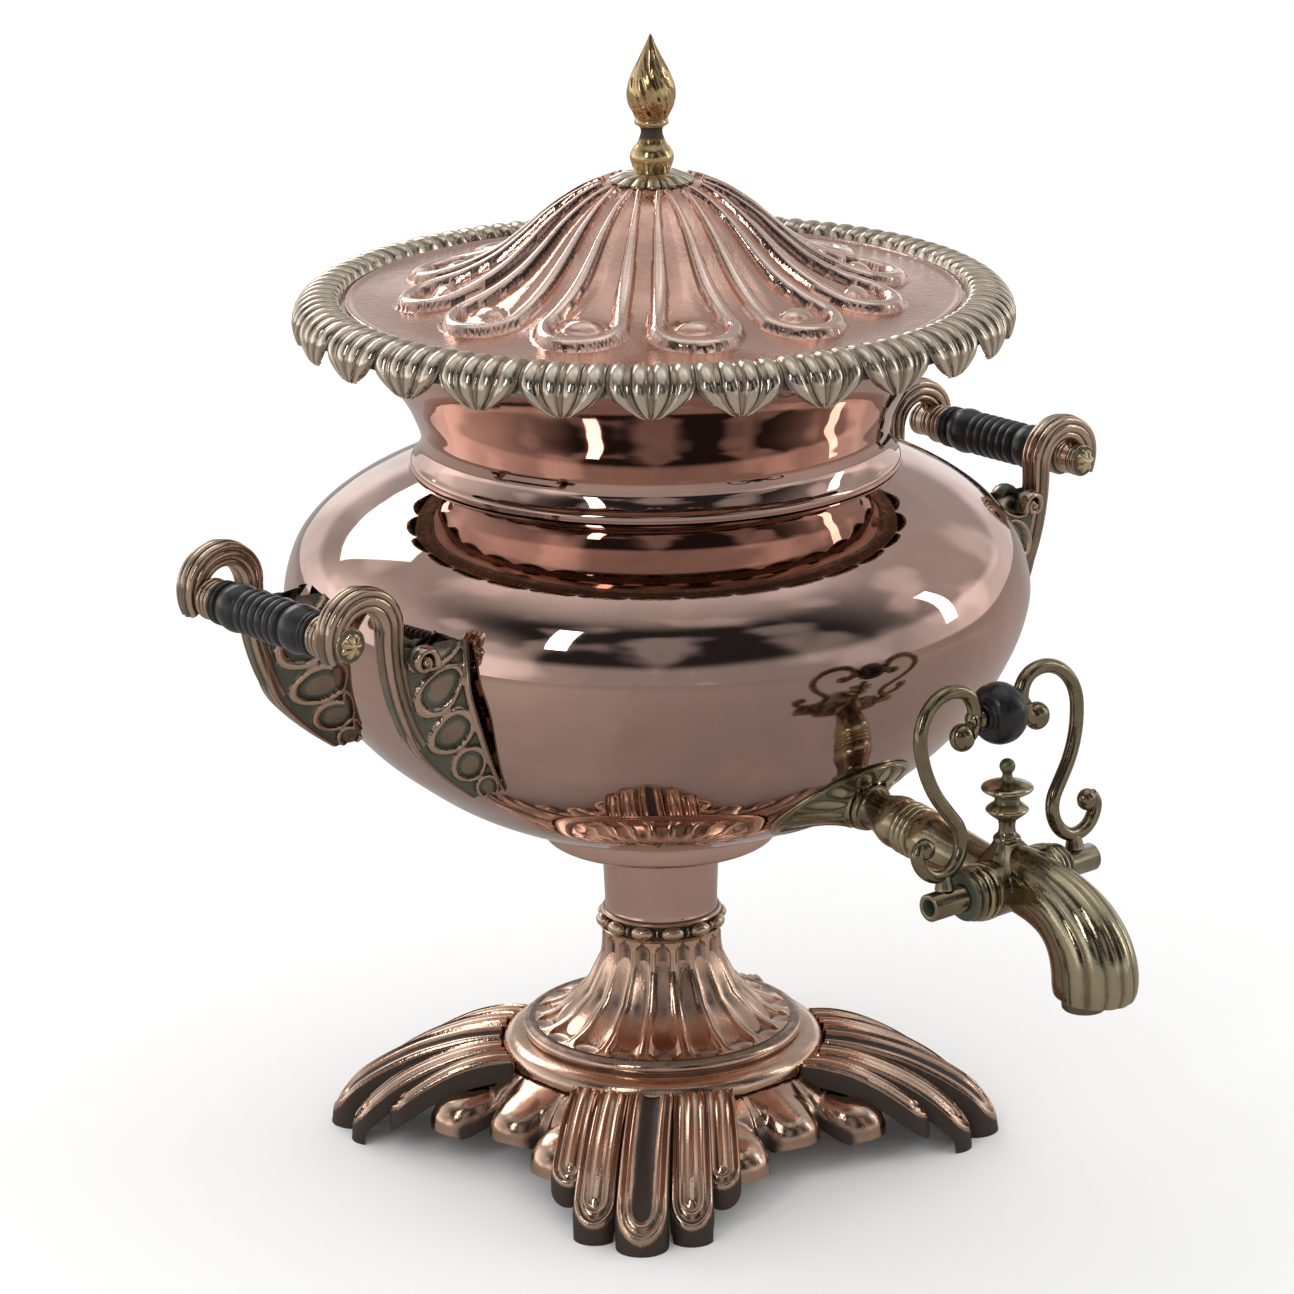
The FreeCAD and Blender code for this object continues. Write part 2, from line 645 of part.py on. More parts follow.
def lid_bezel():
    r = ledge_inner_r - sliding_gap
    return turned_polygon([(r - bezel_wall, lid_seat_z - bezel_depth), (r, lid_seat_z - bezel_depth),
                           (r, lid_seat_z), (r - bezel_wall, lid_seat_z)])


def lid_rosette():
    z0 = lid_top_z
    disc = turned([line(xz(lid_hole_r, z0), xz(rosette_r - 1.0, z0)),
                   arc(xz(rosette_r - 1.0, z0), xz(rosette_r, z0 + 1.0), xz(rosette_r - 2.5, z0 + 2.4)),
                   line(xz(rosette_r - 2.5, z0 + 2.4), xz(8.0, z0 + rosette_height)),
                   line(xz(8.0, z0 + rosette_height), xz(lid_hole_r, z0 + rosette_height)),
                   line(xz(lid_hole_r, z0 + rosette_height), xz(lid_hole_r, z0))])
    notch = cylinder(1.1, 12.0, V(rosette_r + 0.5, 0, z0 - 2.0))
    return disc.cut(fuse_all(around(notch, petal_count, -90.0)))


rosette_top_z = lid_top_z + rosette_height


def lid_finial():
    """Turned baluster with a flame bud, on a stud that passes through the lid."""
    z0 = rosette_top_z
    stud_z = lid_top_z - 14.0
    outer = [xz(6.6, z0), xz(8.3, z0 + 5.6), xz(5.4, z0 + 11.0), xz(4.1, z0 + 15.0), xz(5.6, z0 + 18.0)]
    edges = [line(xz(0, stud_z), xz(finial_stud_r, stud_z)), line(xz(finial_stud_r, stud_z), xz(finial_stud_r, z0)),
             line(xz(finial_stud_r, z0), outer[0]), spline(outer).toShape()]
    edges.append(line(outer[-1], xz(6.5, z0 + 18.2)))
    edges.append(line(xz(6.5, z0 + 18.2), xz(6.5, z0 + 20.4)))
    edges.append(line(xz(6.5, z0 + 20.4), xz(6.0, z0 + 21.0)))
    bud = [xz(6.0, z0 + 21.0), xz(8.6, z0 + 25.5), xz(finial_bud_r, finial_bud_z), xz(6.9, finial_bud_z + 8.5),
           xz(3.2, finial_bud_z + 15.5), xz(finial_tip_r, finial_tip_z - finial_tip_r)]
    edges.append(spline(bud).toShape())
    half = finial_tip_r * math.sqrt(0.5)
    edges.append(arc(bud[-1], xz(half, finial_tip_z - finial_tip_r + half), xz(0, finial_tip_z)))
    edges.append(line(xz(0, finial_tip_z), xz(0, stud_z)))
    return turned(edges)


def hex_nut(across, height, bore, base, axis=Z_AXIS):
    """A six-sided nut, across its flats, with its bore."""
    r = across / math.sqrt(3)
    points = [V(r * math.cos(math.radians(60 * i)), r * math.sin(math.radians(60 * i)), 0) for i in range(6)]
    nut = Part.Face(Part.Wire(polygon(points))).extrude(V(0, 0, height)).cut(cylinder(bore, height))
    nut.Placement = FreeCAD.Placement(base, FreeCAD.Rotation(Z_AXIS, axis))
    return nut


lid_washer_r, lid_washer_height = 9.0, 1.0
lid_nut_across, lid_nut_height = 11.0, 5.0
lid_under_z = lid_top_z - lid_wall


def lid_nut():
    base = V(0, 0, lid_under_z - lid_washer_height - lid_nut_height)
    return hex_nut(lid_nut_across, lid_nut_height, finial_stud_r + seat_gap, base)


def lid_washer():
    bore, low = finial_stud_r + seat_gap, lid_under_z - lid_washer_height
    return turned_polygon([(bore, low), (lid_washer_r, low), (lid_washer_r, lid_under_z), (bore, lid_under_z)])


# Handles

def bracket_section(centre, heading):
    """Reeded section of a bracket: three reeds on each face and one at each edge."""
    half_w, half_d = bracket_width / 2, bracket_depth / 2
    a = math.radians(heading)
    normal = V(-math.sin(a), 0, math.cos(a))

    def at(n, w):
        return centre + normal * n + Y_AXIS * w

    valley = half_w - reed_depth
    flat = half_d - edge_round
    points = []
    for w in (1, -1):
        for i in range(3):
            low = flat * (2 * i - 3) / 3
            points += [at(w * low, w * valley), at(w * (low + flat / 3), w * half_w)]
        points += [at(w * flat, w * valley), at(w * half_d, w * valley * 0.4)]
        points.append(at(w * half_d, -w * valley * 0.4))
    return Part.Face(Part.Wire(polygon(points)))


def bracket_band():
    """The reeded scroll: a stem that leans out from the body and turns over to the grip."""
    steps = [(stem_curve_r, stem_turn), (arch_r, -arch_turn)]
    heading = 92.0 - stem_turn
    low, high = math.radians(heading), math.radians(heading + stem_turn)
    start = (arch_x - arch_r - stem_curve_r * (math.sin(high) - math.sin(low)),
             arch_z - stem_curve_r * (math.cos(low) - math.cos(high)))
    return bent_bar(bracket_section, start, heading, steps)[0]


def leaf_foot():
    """Cupped leaf between the rib and the body, broad against the body and narrow at the rib."""
    wires = []
    for z, rib_x, rib_half, inner_half, outer_half in leaf_levels:
        back_x = body_radius(z) - leaf_bury
        a, b = V(rib_x, rib_half, z), V(rib_x, -rib_half, z)
        c, d = V(back_x, -outer_half, z), V(back_x, inner_half, z)
        mid_x = rib_x + (back_x - rib_x) * leaf_hollow_depth
        left = V(mid_x, rib_half + (inner_half - rib_half) * leaf_hollow_width, z)
        right = V(mid_x, -rib_half - (outer_half - rib_half) * leaf_hollow_width, z)
        wires.append(Part.Wire([line(a, b), arc(b, right, c), line(c, d), arc(d, left, a)]))
    return Part.makeLoft(wires, True, True)


def body_radius(z):
    """The body's outer radius at a height."""
    edge = body_curve.toShape()
    low, high = V(-1, 0, z), V(400, 0, z)
    point = edge.distToShape(line(low, high))[1]
    return max(p[0].x for p in point)


def handle_bracket(side, end):
    """Cast bronze bracket, soldered to the body by its leaf foot."""
    boss = cylinder(boss_r, 2 * boss_half, V(grip_x, -boss_half, grip_z), Y_AXIS)
    shape = fuse_all([bracket_band(), boss, leaf_foot()])
    if end > 0:
        shape = mirrored(shape, Y_AXIS)
    shape.translate(V(0, end * handle_plane, 0))
    hole_start = V(grip_x, end * handle_plane - boss_half - 1, grip_z)
    rod_hole = cylinder(handle_bore_r, 2 * boss_half + 2, hole_start, Y_AXIS)
    shape = shape.cut(body_solid(seat_gap)).cut(rod_hole)
    shape = max(shape.Solids, key=lambda s: s.Volume)
    return mirrored(shape) if side < 0 else shape


def along_y(profile, side):
    """A turned piece on a grip's axis, from (radius, y) pairs."""
    points = [V(grip_x + r, y, grip_z) for r, y in profile]
    shape = turned(polygon(points), V(grip_x, 0, grip_z), Y_AXIS)
    return mirrored(shape) if side < 0 else shape


grip_half = handle_plane - boss_half - ferrule_length


def handle_grip(side):
    """Turned ebony grip, swelling each side of three ring beads."""
    h = grip_half
    points = [V(grip_x + handle_bore_r, -h, grip_z), V(grip_x + grip_waist_r, -h, grip_z)]
    edges = [line(points[0], points[1])]
    swell = [(grip_waist_r, -h), (grip_r, -h * 0.62), (grip_r - 0.5, -h * 0.3)]
    edges.append(arc(*[V(grip_x + r, y, grip_z) for r, y in swell]))
    here = swell[-1]
    bead = 0.2 * h
    for i in range(3):
        y = here[1]
        edges.append(arc(V(grip_x + grip_r - 0.5, y, grip_z), V(grip_x + grip_r + 0.5, y + bead / 2, grip_z),
                         V(grip_x + grip_r - 0.5, y + bead, grip_z)))
        here = (grip_r - 0.5, y + bead)
    edges.append(arc(*[V(grip_x + r, -y, grip_z) for r, y in reversed(swell)]))
    edges.append(line(V(grip_x + grip_waist_r, h, grip_z), V(grip_x + handle_bore_r, h, grip_z)))
    edges.append(line(V(grip_x + handle_bore_r, h, grip_z), points[0]))
    shape = turned(edges, V(grip_x, 0, grip_z), Y_AXIS)
    return mirrored(shape) if side < 0 else shape


def handle_ferrules(side):
    """The two bronze collars between the grip and its brackets."""
    rings = []
    for end in (-1, 1):
        y0, y1 = end * grip_half, end * (grip_half + ferrule_length)
        step = (y1 - y0) / 4
        profile = [(handle_bore_r, y0), (ferrule_r, y0), (ferrule_r, y0 + step), (ferrule_r - 0.9, y0 + 1.4 * step),
                   (ferrule_r - 0.9, y0 + 2.6 * step), (ferrule_r, y0 + 3 * step), (ferrule_r, y1), (handle_bore_r, y1)]
        rings.append(along_y(profile, side))
    return Part.makeCompound(rings)


def handle_rod(side):
    reach = handle_plane + boss_half
    dome = boss_dome
    return along_y([(0, -reach - dome), (handle_rod_r, -reach - dome + 0.6), (handle_rod_r + 2.2, -reach - 0.4),
                    (handle_rod_r + 2.2, -reach), (handle_rod_r, -reach), (handle_rod_r, reach),
                    (handle_rod_r + 2.2, reach), (handle_rod_r + 2.2, reach + 0.4),
                    (handle_rod_r, reach + dome - 0.6), (0, reach + dome)], side)


# Tap

tube_centre = V(0, tube_y, tube_z)
back = V(0, math.cos(math.radians(shank_drop)), math.sin(math.radians(shank_drop)))


def along_shank(radius, start, end):
    """A cylinder on the shank's axis, between two distances back from the plug's axis."""
    return cylinder(radius, end - start, tube_centre + back * start, back)


def half_rounds(place, first, width, count, root_r, crown_r):
    """Arcs of a row of half-round rings, drawn from their root radius, along a turned piece's axis."""
    rings = []
    for i in range(count):
        low, mid, high = first + i * width, first + (i + 0.5) * width, first + (i + 1) * width
        rings.append(arc(place(root_r, low), place(crown_r, mid), place(root_r, high)))
    return rings


def tap_shank():
    """Baluster shank: rear ring, waist, bulge, three rings and a second bulge, with a tail into the urn."""
    def at(r, s):
        return tube_centre + back * s + X_AXIS * r

    s0, s1 = shank_front, shank_start
    front = [(shank_end_r - 1.9, s0), (shank_end_r - 1.6, s0 + 13.0), (shank_end_r, shank_rings - 7.0),
             (shank_end_r - 1.0, shank_rings)]
    rear = [(shank_end_r - 1.0, shank_rings + 6.0), (shank_bulge_r, shank_rings + 12.0),
            (shank_waist_r, s1 - 7.5), (shank_waist_r + 0.9, s1 - 3.0)]
    rings = half_rounds(at, shank_rings, 2.0, 3, shank_end_r - 1.0, shank_end_r - 0.2)
    edges = [line(at(waterway_r, s0), at(*front[0])), spline([at(*point) for point in front]).toShape()]
    edges += rings
    edges.append(spline([at(*point) for point in rear]).toShape())
    corners = [rear[-1], (shank_ring_r, s1 - 2.6), (shank_ring_r, s1), (shank_tail_r, s1),
               (shank_tail_r, shank_tail), (waterway_r, shank_tail), (waterway_r, s0)]
    edges += [line(at(*m), at(*n)) for m, n in zip(corners, corners[1:])]
    shank = turned(edges, tube_centre, back)
    barrel = cylinder(barrel_r + seat_gap, 2 * barrel_half + 4, V(-barrel_half - 2, tube_y, tube_z), X_AXIS)
    return shank.cut(barrel).cut(tap_tower(seat_gap))


def wall_frame():
    """Centre and outward normal of the body's wall where the tap's rosette sits."""
    slope = V(0, body_radius(escutcheon_z - 1.0) - body_radius(escutcheon_z + 1.0), 2.0)
    slope.normalize()
    return V(0, -body_radius(escutcheon_z), escutcheon_z), V(0, -slope.z, slope.y)


def tap_escutcheon():
    """Cupped rosette: a broad round rim on the body that draws in to the shank."""
    centre, normal = wall_frame()
    mouth_centre = tube_centre + back * shank_start
    rim_low = Part.Circle(centre - normal * 9.0, normal, escutcheon_r + 0.4)
    rim_top = Part.Circle(centre + normal * 0.6, normal, escutcheon_r)
    mixed = (normal - back).normalize()
    throat = Part.Circle(mouth_centre + back * 2.4, mixed, escutcheon_throat_r)
    mouth = Part.Circle(mouth_centre, back * -1, shank_ring_r + 0.8)
    wires = [Part.Wire(circle.toShape()) for circle in (rim_low, rim_top, throat, mouth)]
    lower = Part.makeLoft(wires[:2], True, True)
    upper = Part.makeLoft(wires[1:], True, True)
    shape = fuse_all([lower, upper]).cut(body_solid(seat_gap))
    shape = shape.cut(along_shank(shank_tail_r + seat_gap, shank_start - 1.0, shank_tail))
    return max(shape.Solids, key=lambda solid: solid.Volume)


nut_start = shank_tail - back_nut_length - 1.0


def tap_saddle():
    """Wedge washer inside the urn, shaped to the wall."""
    inner = offset_curve(body_curve, -body_wall - seat_gap)
    a, b = inner.value(inner.FirstParameter), inner.value(inner.LastParameter)
    inside = turned([inner.toShape(), line(b, xz(0, b.z)), line(xz(0, b.z), xz(0, a.z)), line(xz(0, a.z), a)])
    block = along_shank(back_nut_r + 1.0, shank_start, nut_start)
    shape = block.common(inside).cut(along_shank(shank_tail_r + seat_gap, shank_start, shank_tail))
    return max(shape.Solids, key=lambda solid: solid.Volume)


def tap_back_nut():
    across = back_nut_r * math.sqrt(3)
    return hex_nut(across, back_nut_length, shank_tail_r + seat_gap, tube_centre + back * nut_start, back)


def ellipse(top, bottom, half_width):
    """An oval section of the spout, upright in the middle plane between two points (y, z)."""
    top, bottom = V(0, tube_y + top[0], tube_z + top[1]), V(0, tube_y + bottom[0], tube_z + bottom[1])
    centre = (top + bottom) * 0.5
    return Part.Wire(Part.Ellipse(top, centre + X_AXIS * half_width, centre).toShape())


def spout():
    """The curved spout, broad at its mouth, as a loft of ovals (top, bottom, half width)."""
    mouth_low = spout_mouth_z - tube_z
    sections = [
        ((-2.0, 15.5), (-2.0, -10.4), 9.6), ((-24.0, 12.0), (-13.0, -12.6), 10.6),
        ((-43.4, 2.2), (-20.0, -15.2), 12.0), ((-54.6, -6.0), (-23.4, -20.5), 13.0),
        ((-60.0, -19.0), (-24.6, -26.5), 13.0), ((-54.0, mouth_low), (-26.0, mouth_low), 9.2),
    ]
    return Part.makeLoft([ellipse(*section) for section in sections], True, False)


def waterway():
    """The spout's round channel: forward along the shank's fall, then down to the nozzle."""
    run = nozzle_reach - bend_r * math.sin(math.radians(90.0 - shank_drop))
    steps = [(run / math.cos(math.radians(shank_drop)),), (bend_r, shank_drop - 90.0), (40.0,)]
    section = round_section(waterway_r, X_AXIS * -1, Y_AXIS * -1)
    return bent_bar(section, (0.0, 0.0), -shank_drop, steps, lambda u, v: V(0, tube_y - u, tube_z + v),
                    X_AXIS * -1)[0]


def tap_tower(grow=0.0):
    """The cone on the barrel that carries the cap screw."""
    levels = [(tube_y, tube_z + 2.0, barrel_r), (screw_y, tower_top_z - tower_neck, tower_top_r + tower_flare),
              (screw_y, tower_top_z, tower_top_r)]
    circles = [Part.Circle(V(0, y, z), Z_AXIS, r + grow).toShape() for y, z, r in levels]
    return Part.makeLoft([Part.Wire(circle) for circle in circles], True, True)


def tap_body():
    """Barrel, screw tower and spout cast in one, bored for the plug and the water."""
    barrel = cylinder(barrel_r, 2 * barrel_half, V(-barrel_half, tube_y, tube_z), X_AXIS)
    shape = fuse_all([barrel, tap_tower(), spout()])
    bore = cylinder(plug_r + running_gap, 2 * barrel_half + 2, V(-barrel_half - 1, tube_y, tube_z), X_AXIS)
    inlet = along_shank(waterway_r, 0.0, barrel_r + 2.0)
    nozzle_y = tube_y - nozzle_reach
    seat = cylinder(nozzle_neck_r + seat_gap, nozzle_neck, V(0, nozzle_y, spout_mouth_z - 1.0))
    screw_hole = cylinder(screw_stem_r + running_gap, screw_hole_depth, V(0, screw_y, tower_top_z - screw_hole_depth))
    for tool in (bore, waterway(), inlet, seat, screw_hole):
        shape = shape.cut(tool)
    return shape


def tap_nozzle():
    """Short outlet tube under the spout."""
    y, z = tube_y - nozzle_reach, spout_mouth_z
    profile = [(nozzle_bore_r, nozzle_bottom_z), (nozzle_r - 0.8, nozzle_bottom_z), (nozzle_r, nozzle_bottom_z + 0.8),
               (nozzle_r, z), (nozzle_neck_r, z), (nozzle_neck_r, z + nozzle_neck - 1.2),
               (nozzle_bore_r, z + nozzle_neck - 1.2)]
    nozzle = turned_polygon(profile)
    nozzle.translate(V(0, y, 0))
    return nozzle


def tap_gland(side):
    """Three-ringed gland nut on the barrel's end, that the plug's tube turns in."""
    ring = gland_length / gland_rings
    bore = plug_tube_r + running_gap
    edges = [line(V(barrel_half, bore, 0), V(barrel_half, gland_r - 1.4, 0))]
    for i in range(gland_rings):
        x, root = barrel_half + i * ring, gland_r - 1.4 - gland_step * i
        if i:
            edges.append(line(V(x, root + gland_step, 0), V(x, root, 0)))
        edges.append(arc(V(x, root, 0), V(x + ring / 2, root + 1.4, 0), V(x + ring, root, 0)))
    end_x, end_r = barrel_half + gland_length, gland_r - 1.4 - gland_step * (gland_rings - 1)
    edges.append(line(V(end_x, end_r, 0), V(end_x, bore, 0)))
    edges.append(line(V(end_x, bore, 0), V(barrel_half, bore, 0)))
    gland = turned(edges, ORIGIN, X_AXIS)
    gland.translate(tube_centre)
    return mirrored(gland) if side < 0 else gland


def tap_plug():
    """Turning plug with its two hollow tube ends and a cross bore that lines up when the lever is down."""
    plug_end = barrel_half - turn_gap
    shape = cylinder(plug_r, 2 * plug_end, V(-plug_end, 0, 0), X_AXIS)
    shape = shape.fuse(cylinder(plug_tube_r, 2 * plug_half, V(-plug_half, 0, 0), X_AXIS))
    for side in (-1, 1):
        mouth = V(side * (plug_half - tube_socket_depth), 0, 0)
        shape = shape.cut(cylinder(tube_socket_r, tube_socket_depth, mouth, X_AXIS * side))
    shape = shape.cut(turned_copy(cylinder(waterway_r, 40.0, back * -20.0, back), -open_angle, ORIGIN, X_AXIS))
    shape.translate(tube_centre)
    return shape


def leaned(shape):
    """Sets a lever piece, drawn upright over the tube's axis, at its rest lean."""
    shape.rotate(ORIGIN, X_AXIS, -lever_lean)
    shape.translate(tube_centre)
    return shape


def tap_lyre(side):
    """One arm of the lyre: an S of round bar, curled at both ends round a ball."""
    foot_turns = [(4.7, -68.0), (11.0, -90.0), (11.1, -110.0)]
    top_turns = [(8.6,), (40.6, 35.0), (16.4, 111.0), (9.3, 125.0), (4.0, 40.0)]
    arm, end = bent_bar(round_section(arm_r), (43.2, 23.0), -40.0, foot_turns + top_turns)
    lower = Part.makeSphere(lower_ball_r, V(41.0, 0, 21.6))
    upper = Part.makeSphere(upper_ball_r, V(end[0] + 1.0, 0, end[1] + 0.5))
    boss = cylinder(arm_boss_r, lever_ball_gap, V(lever_ball_half, 0, lever_ball_h), X_AXIS)
    foot = cylinder(arm_r + 0.3, arm_foot_height, V(arm_foot_x, 0, 0))
    shape = fuse_all([arm, lower, upper, boss, foot])
    shape = shape.cut(cylinder(plug_tube_r + seat_gap, 2 * plug_half + 4, V(-plug_half - 2, 0, 0), X_AXIS))
    pin_hole = cylinder(lever_pin_r + seat_gap, lever_pin_depth + 1.1, V(lever_ball_half - 1, 0, lever_ball_h),
                        X_AXIS)
    shape = shape.cut(pin_hole)
    shape = max(shape.Solids, key=lambda solid: solid.Volume)
    return leaned(mirrored(shape) if side < 0 else shape)


def lever_ball():
    """Flattened ebony ball with a turned groove each side."""
    half, r = lever_ball_half, lever_ball_r
    bore = lever_pin_r + seat_gap
    edges = [line(V(-half, bore, 0), V(-half, arm_boss_r + 0.6, 0)),
             arc(V(-half, arm_boss_r + 0.6, 0), V(-half * 0.72, r * 0.82, 0), V(-half * 0.3, r, 0)),
             line(V(-half * 0.3, r, 0), V(half * 0.3, r, 0)),
             arc(V(half * 0.3, r, 0), V(half * 0.72, r * 0.82, 0), V(half, arm_boss_r + 0.6, 0)),
             line(V(half, arm_boss_r + 0.6, 0), V(half, bore, 0)), line(V(half, bore, 0), V(-half, bore, 0))]
    ball = turned(edges, ORIGIN, X_AXIS)
    ball.translate(V(0, 0, lever_ball_h))
    return leaned(ball)


def lever_pin():
    """Plain pin through the ball, let into both arms."""
    reach = lever_ball_half + lever_pin_depth
    return leaned(cylinder(lever_pin_r, 2 * reach, V(-reach, 0, lever_ball_h), X_AXIS))


def tap_top_screw():
    """Turned cap screw with two discs and a ball."""
    z = tower_top_z
    foot_z = z - screw_hole_depth + 1.0
    stem = screw_stem_r
    profile = [(0, foot_z), (stem, foot_z), (stem, z), (tower_top_r - 0.2, z), (tower_top_r - 0.2, z + 1.6),
               (stem, z + 2.4), (stem, z + 7.2), (4.4, z + 8.6), (7.5, z + 11.2), (7.5, z + 12.2), (4.7, z + 14.4),
               (4.7, z + 16.4), (screw_disc_r, z + 19.2), (screw_disc_r, z + 20.4), (4.6, z + 22.4),
               (1.9, z + 23.6), (1.6, z + 25.4), (0, z + 25.6)]
    screw = turned_polygon(profile).fuse(Part.makeSphere(screw_ball_r, xz(0, z + 27.8)))
    screw.translate(V(0, screw_y, 0))
    return screw


# Tie rod

clamp_top_z = foot_top_z - foot_wall
nut_low_z = body_floor_z + 1.0


def tie_rod():
    """Long bolt that draws the body down on the foot."""
    low = clamp_top_z - clamp_wall - rod_head_height
    head_top = low + rod_head_height
    end = nut_low_z + rod_nut_height
    return turned_polygon([(0, low), (rod_head_r, low), (rod_head_r, head_top), (rod_r, head_top),
                           (rod_r, end), (0, end)])


def clamp_plate():
    """Cross plate under the foot that the tie rod pulls on."""
    low = clamp_top_z - clamp_wall
    return turned_polygon([(rod_r + rod_gap, low), (clamp_r, low), (clamp_r, clamp_top_z),
                           (rod_r + rod_gap, clamp_top_z)])


def tie_rod_washer():
    return turned_polygon([(rod_r + rod_gap, body_floor_z), (rod_washer_r, body_floor_z),
                           (rod_washer_r, nut_low_z), (rod_r + rod_gap, nut_low_z)])


def tie_rod_nut():
    return hex_nut(rod_nut_across, rod_nut_height, rod_r + seat_gap, V(0, 0, nut_low_z))


def pieces():
    """Every node's name and its solid."""
    named = {
        "foot_plate": foot_plate(), "foot_ring": foot_ring(), "pedestal_stem": pedestal_stem(),
        "bead_collar": bead_collar(), "pedestal_spigot": pedestal_spigot(), "body_dish": body_dish(),
        "tie_rod": tie_rod(), "clamp_plate": clamp_plate(), "tie_rod_washer": tie_rod_washer(),
        "tie_rod_nut": tie_rod_nut(),
        "urn_body": urn_body(), "urn_neck": urn_neck(), "rim_ledge": rim_ledge(), "rim_border": rim_border(),
        "heater_sleeve": heater_sleeve(), "heater_slug": heater_slug(), "slug_eye": slug_eye(),
        "heater_cover": heater_cover(),
        "lid_shell": lid_shell(), "lid_bezel": lid_bezel(), "lid_rosette": lid_rosette(),
        "lid_finial": lid_finial(), "lid_washer": lid_washer(), "lid_nut": lid_nut(),
        "tap_escutcheon": tap_escutcheon(), "tap_shank": tap_shank(), "tap_saddle": tap_saddle(),
        "tap_back_nut": tap_back_nut(), "tap_body": tap_body(), "tap_nozzle": tap_nozzle(),
        "tap_plug": tap_plug(), "lever_ball": lever_ball(), "lever_pin": lever_pin(),
        "tap_top_screw": tap_top_screw(),
    }
    for side, hand in ((-1, "left"), (1, "right")):
        named["tap_gland_" + hand] = tap_gland(side)
        named["tap_lyre_" + hand] = tap_lyre(side)
        for end, place in ((-1, "front"), (1, "rear")):
            named["bracket_" + hand + "_" + place] = handle_bracket(side, end)
        named["grip_" + hand] = handle_grip(side)
        named["ferrules_" + hand] = handle_ferrules(side)
        named["grip_rod_" + hand] = handle_rod(side)
    return named


def main():
    os.makedirs("parts", exist_ok=True)
    for name, shape in pieces().items():
        shape.exportStep("parts/" + name + ".step")


main()
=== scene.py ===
"""Copper tea urn: detailed meshes, metal and ebony finishes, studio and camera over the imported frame."""
from __future__ import annotations

import logging
import math
from dataclasses import dataclass, field
from enum import Enum
from typing import Callable, Sequence

import bmesh
import bpy
from mathutils import Matrix, Vector

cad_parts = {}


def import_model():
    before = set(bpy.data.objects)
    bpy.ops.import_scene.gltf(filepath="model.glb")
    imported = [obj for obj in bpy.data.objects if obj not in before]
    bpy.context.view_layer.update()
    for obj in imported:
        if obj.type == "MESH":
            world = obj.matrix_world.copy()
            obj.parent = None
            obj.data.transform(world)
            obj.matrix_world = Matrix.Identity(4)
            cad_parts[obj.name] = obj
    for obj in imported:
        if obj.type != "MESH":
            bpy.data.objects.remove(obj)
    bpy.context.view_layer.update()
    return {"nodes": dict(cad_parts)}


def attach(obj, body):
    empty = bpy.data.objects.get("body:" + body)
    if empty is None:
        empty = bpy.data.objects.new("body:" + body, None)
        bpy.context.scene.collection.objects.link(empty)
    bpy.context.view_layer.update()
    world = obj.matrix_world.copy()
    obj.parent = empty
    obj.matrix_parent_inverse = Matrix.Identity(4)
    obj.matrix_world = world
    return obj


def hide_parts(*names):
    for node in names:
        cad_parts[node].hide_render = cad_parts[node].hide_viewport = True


log = logging.getLogger("samovar")
MM = 0.001
X_AXIS, Y_AXIS, Z_AXIS = Vector((1.0, 0.0, 0.0)), Vector((0.0, 1.0, 0.0)), Vector((0.0, 0.0, 1.0))
MIX_A, MIX_B, MIX_RESULT = 6, 7, 2  # the colour sockets of a mix node
LATHE_PARTS, LATHE_LIMIT = 8, 4000  # a larger turn is spun as one part and repeated

Pair = tuple[float, float]
Frame = tuple[Vector, Vector, Vector, float]
Place = Callable[[float, float], Vector]


class Rides(Enum):
    """The bodies of the frame that pieces ride on."""

    URN = "urn"
    LID = "lid"
    LEVER = "lever"
    SCREW = "screw"
    IRON = "hot_iron"
    COVER = "sleeve_cover"


class Side(Enum):
    """The two handles and lever arms."""

    LEFT = -1
    RIGHT = 1


# Numbers and curves

def mix(a: float, b: float, t: float) -> float:
    """The value between two numbers."""
    return a + (b - a) * t


def clamp(value: float, low: float = 0.0, high: float = 1.0) -> float:
    """A value held between two limits."""
    return max(low, min(high, value))


def ease(value: float) -> float:
    """Smooth step from 0 to 1."""
    t = clamp(value)
    return t * t * (3.0 - 2.0 * t)


def dome(t: float) -> float:
    """Height of a half round at t, from -1 to 1 across it."""
    return math.sqrt(max(0.0, 1.0 - t * t))


def curve(points: Sequence[Sequence[float]], per_span: int = 8) -> list[tuple[float, ...]]:
    """A smooth line through a few points.

    Args:
        points: The points that it passes through, of any dimension.
        per_span: How many pieces each span is divided into.

    Returns:
        The points of the line, with the given ones among them.
    """
    ends = [[2 * a - b for a, b in zip(points[0], points[1])],
            [2 * a - b for a, b in zip(points[-1], points[-2])]]
    row = [ends[0], *points, ends[1]]
    line = []
    for i in range(1, len(row) - 2):
        p0, p1, p2, p3 = row[i - 1], row[i], row[i + 1], row[i + 2]
        for k in range(per_span):
            t = k / per_span
            line.append(tuple(
                0.5 * (2 * b + (c - a) * t + (2 * a - 5 * b + 4 * c - d) * t ** 2 + (3 * b - a - 3 * c + d) * t ** 3)
                for a, b, c, d in zip(p0, p1, p2, p3)))
    line.append(tuple(points[-1]))
    return line


def sample(line: Sequence[Sequence[float]], t: float) -> tuple[float, ...]:
    """The point at a share of a line's count of points."""
    place = clamp(t) * (len(line) - 1)
    i = min(int(place), len(line) - 2)
    return tuple(mix(a, b, place - i) for a, b in zip(line[i], line[i + 1]))


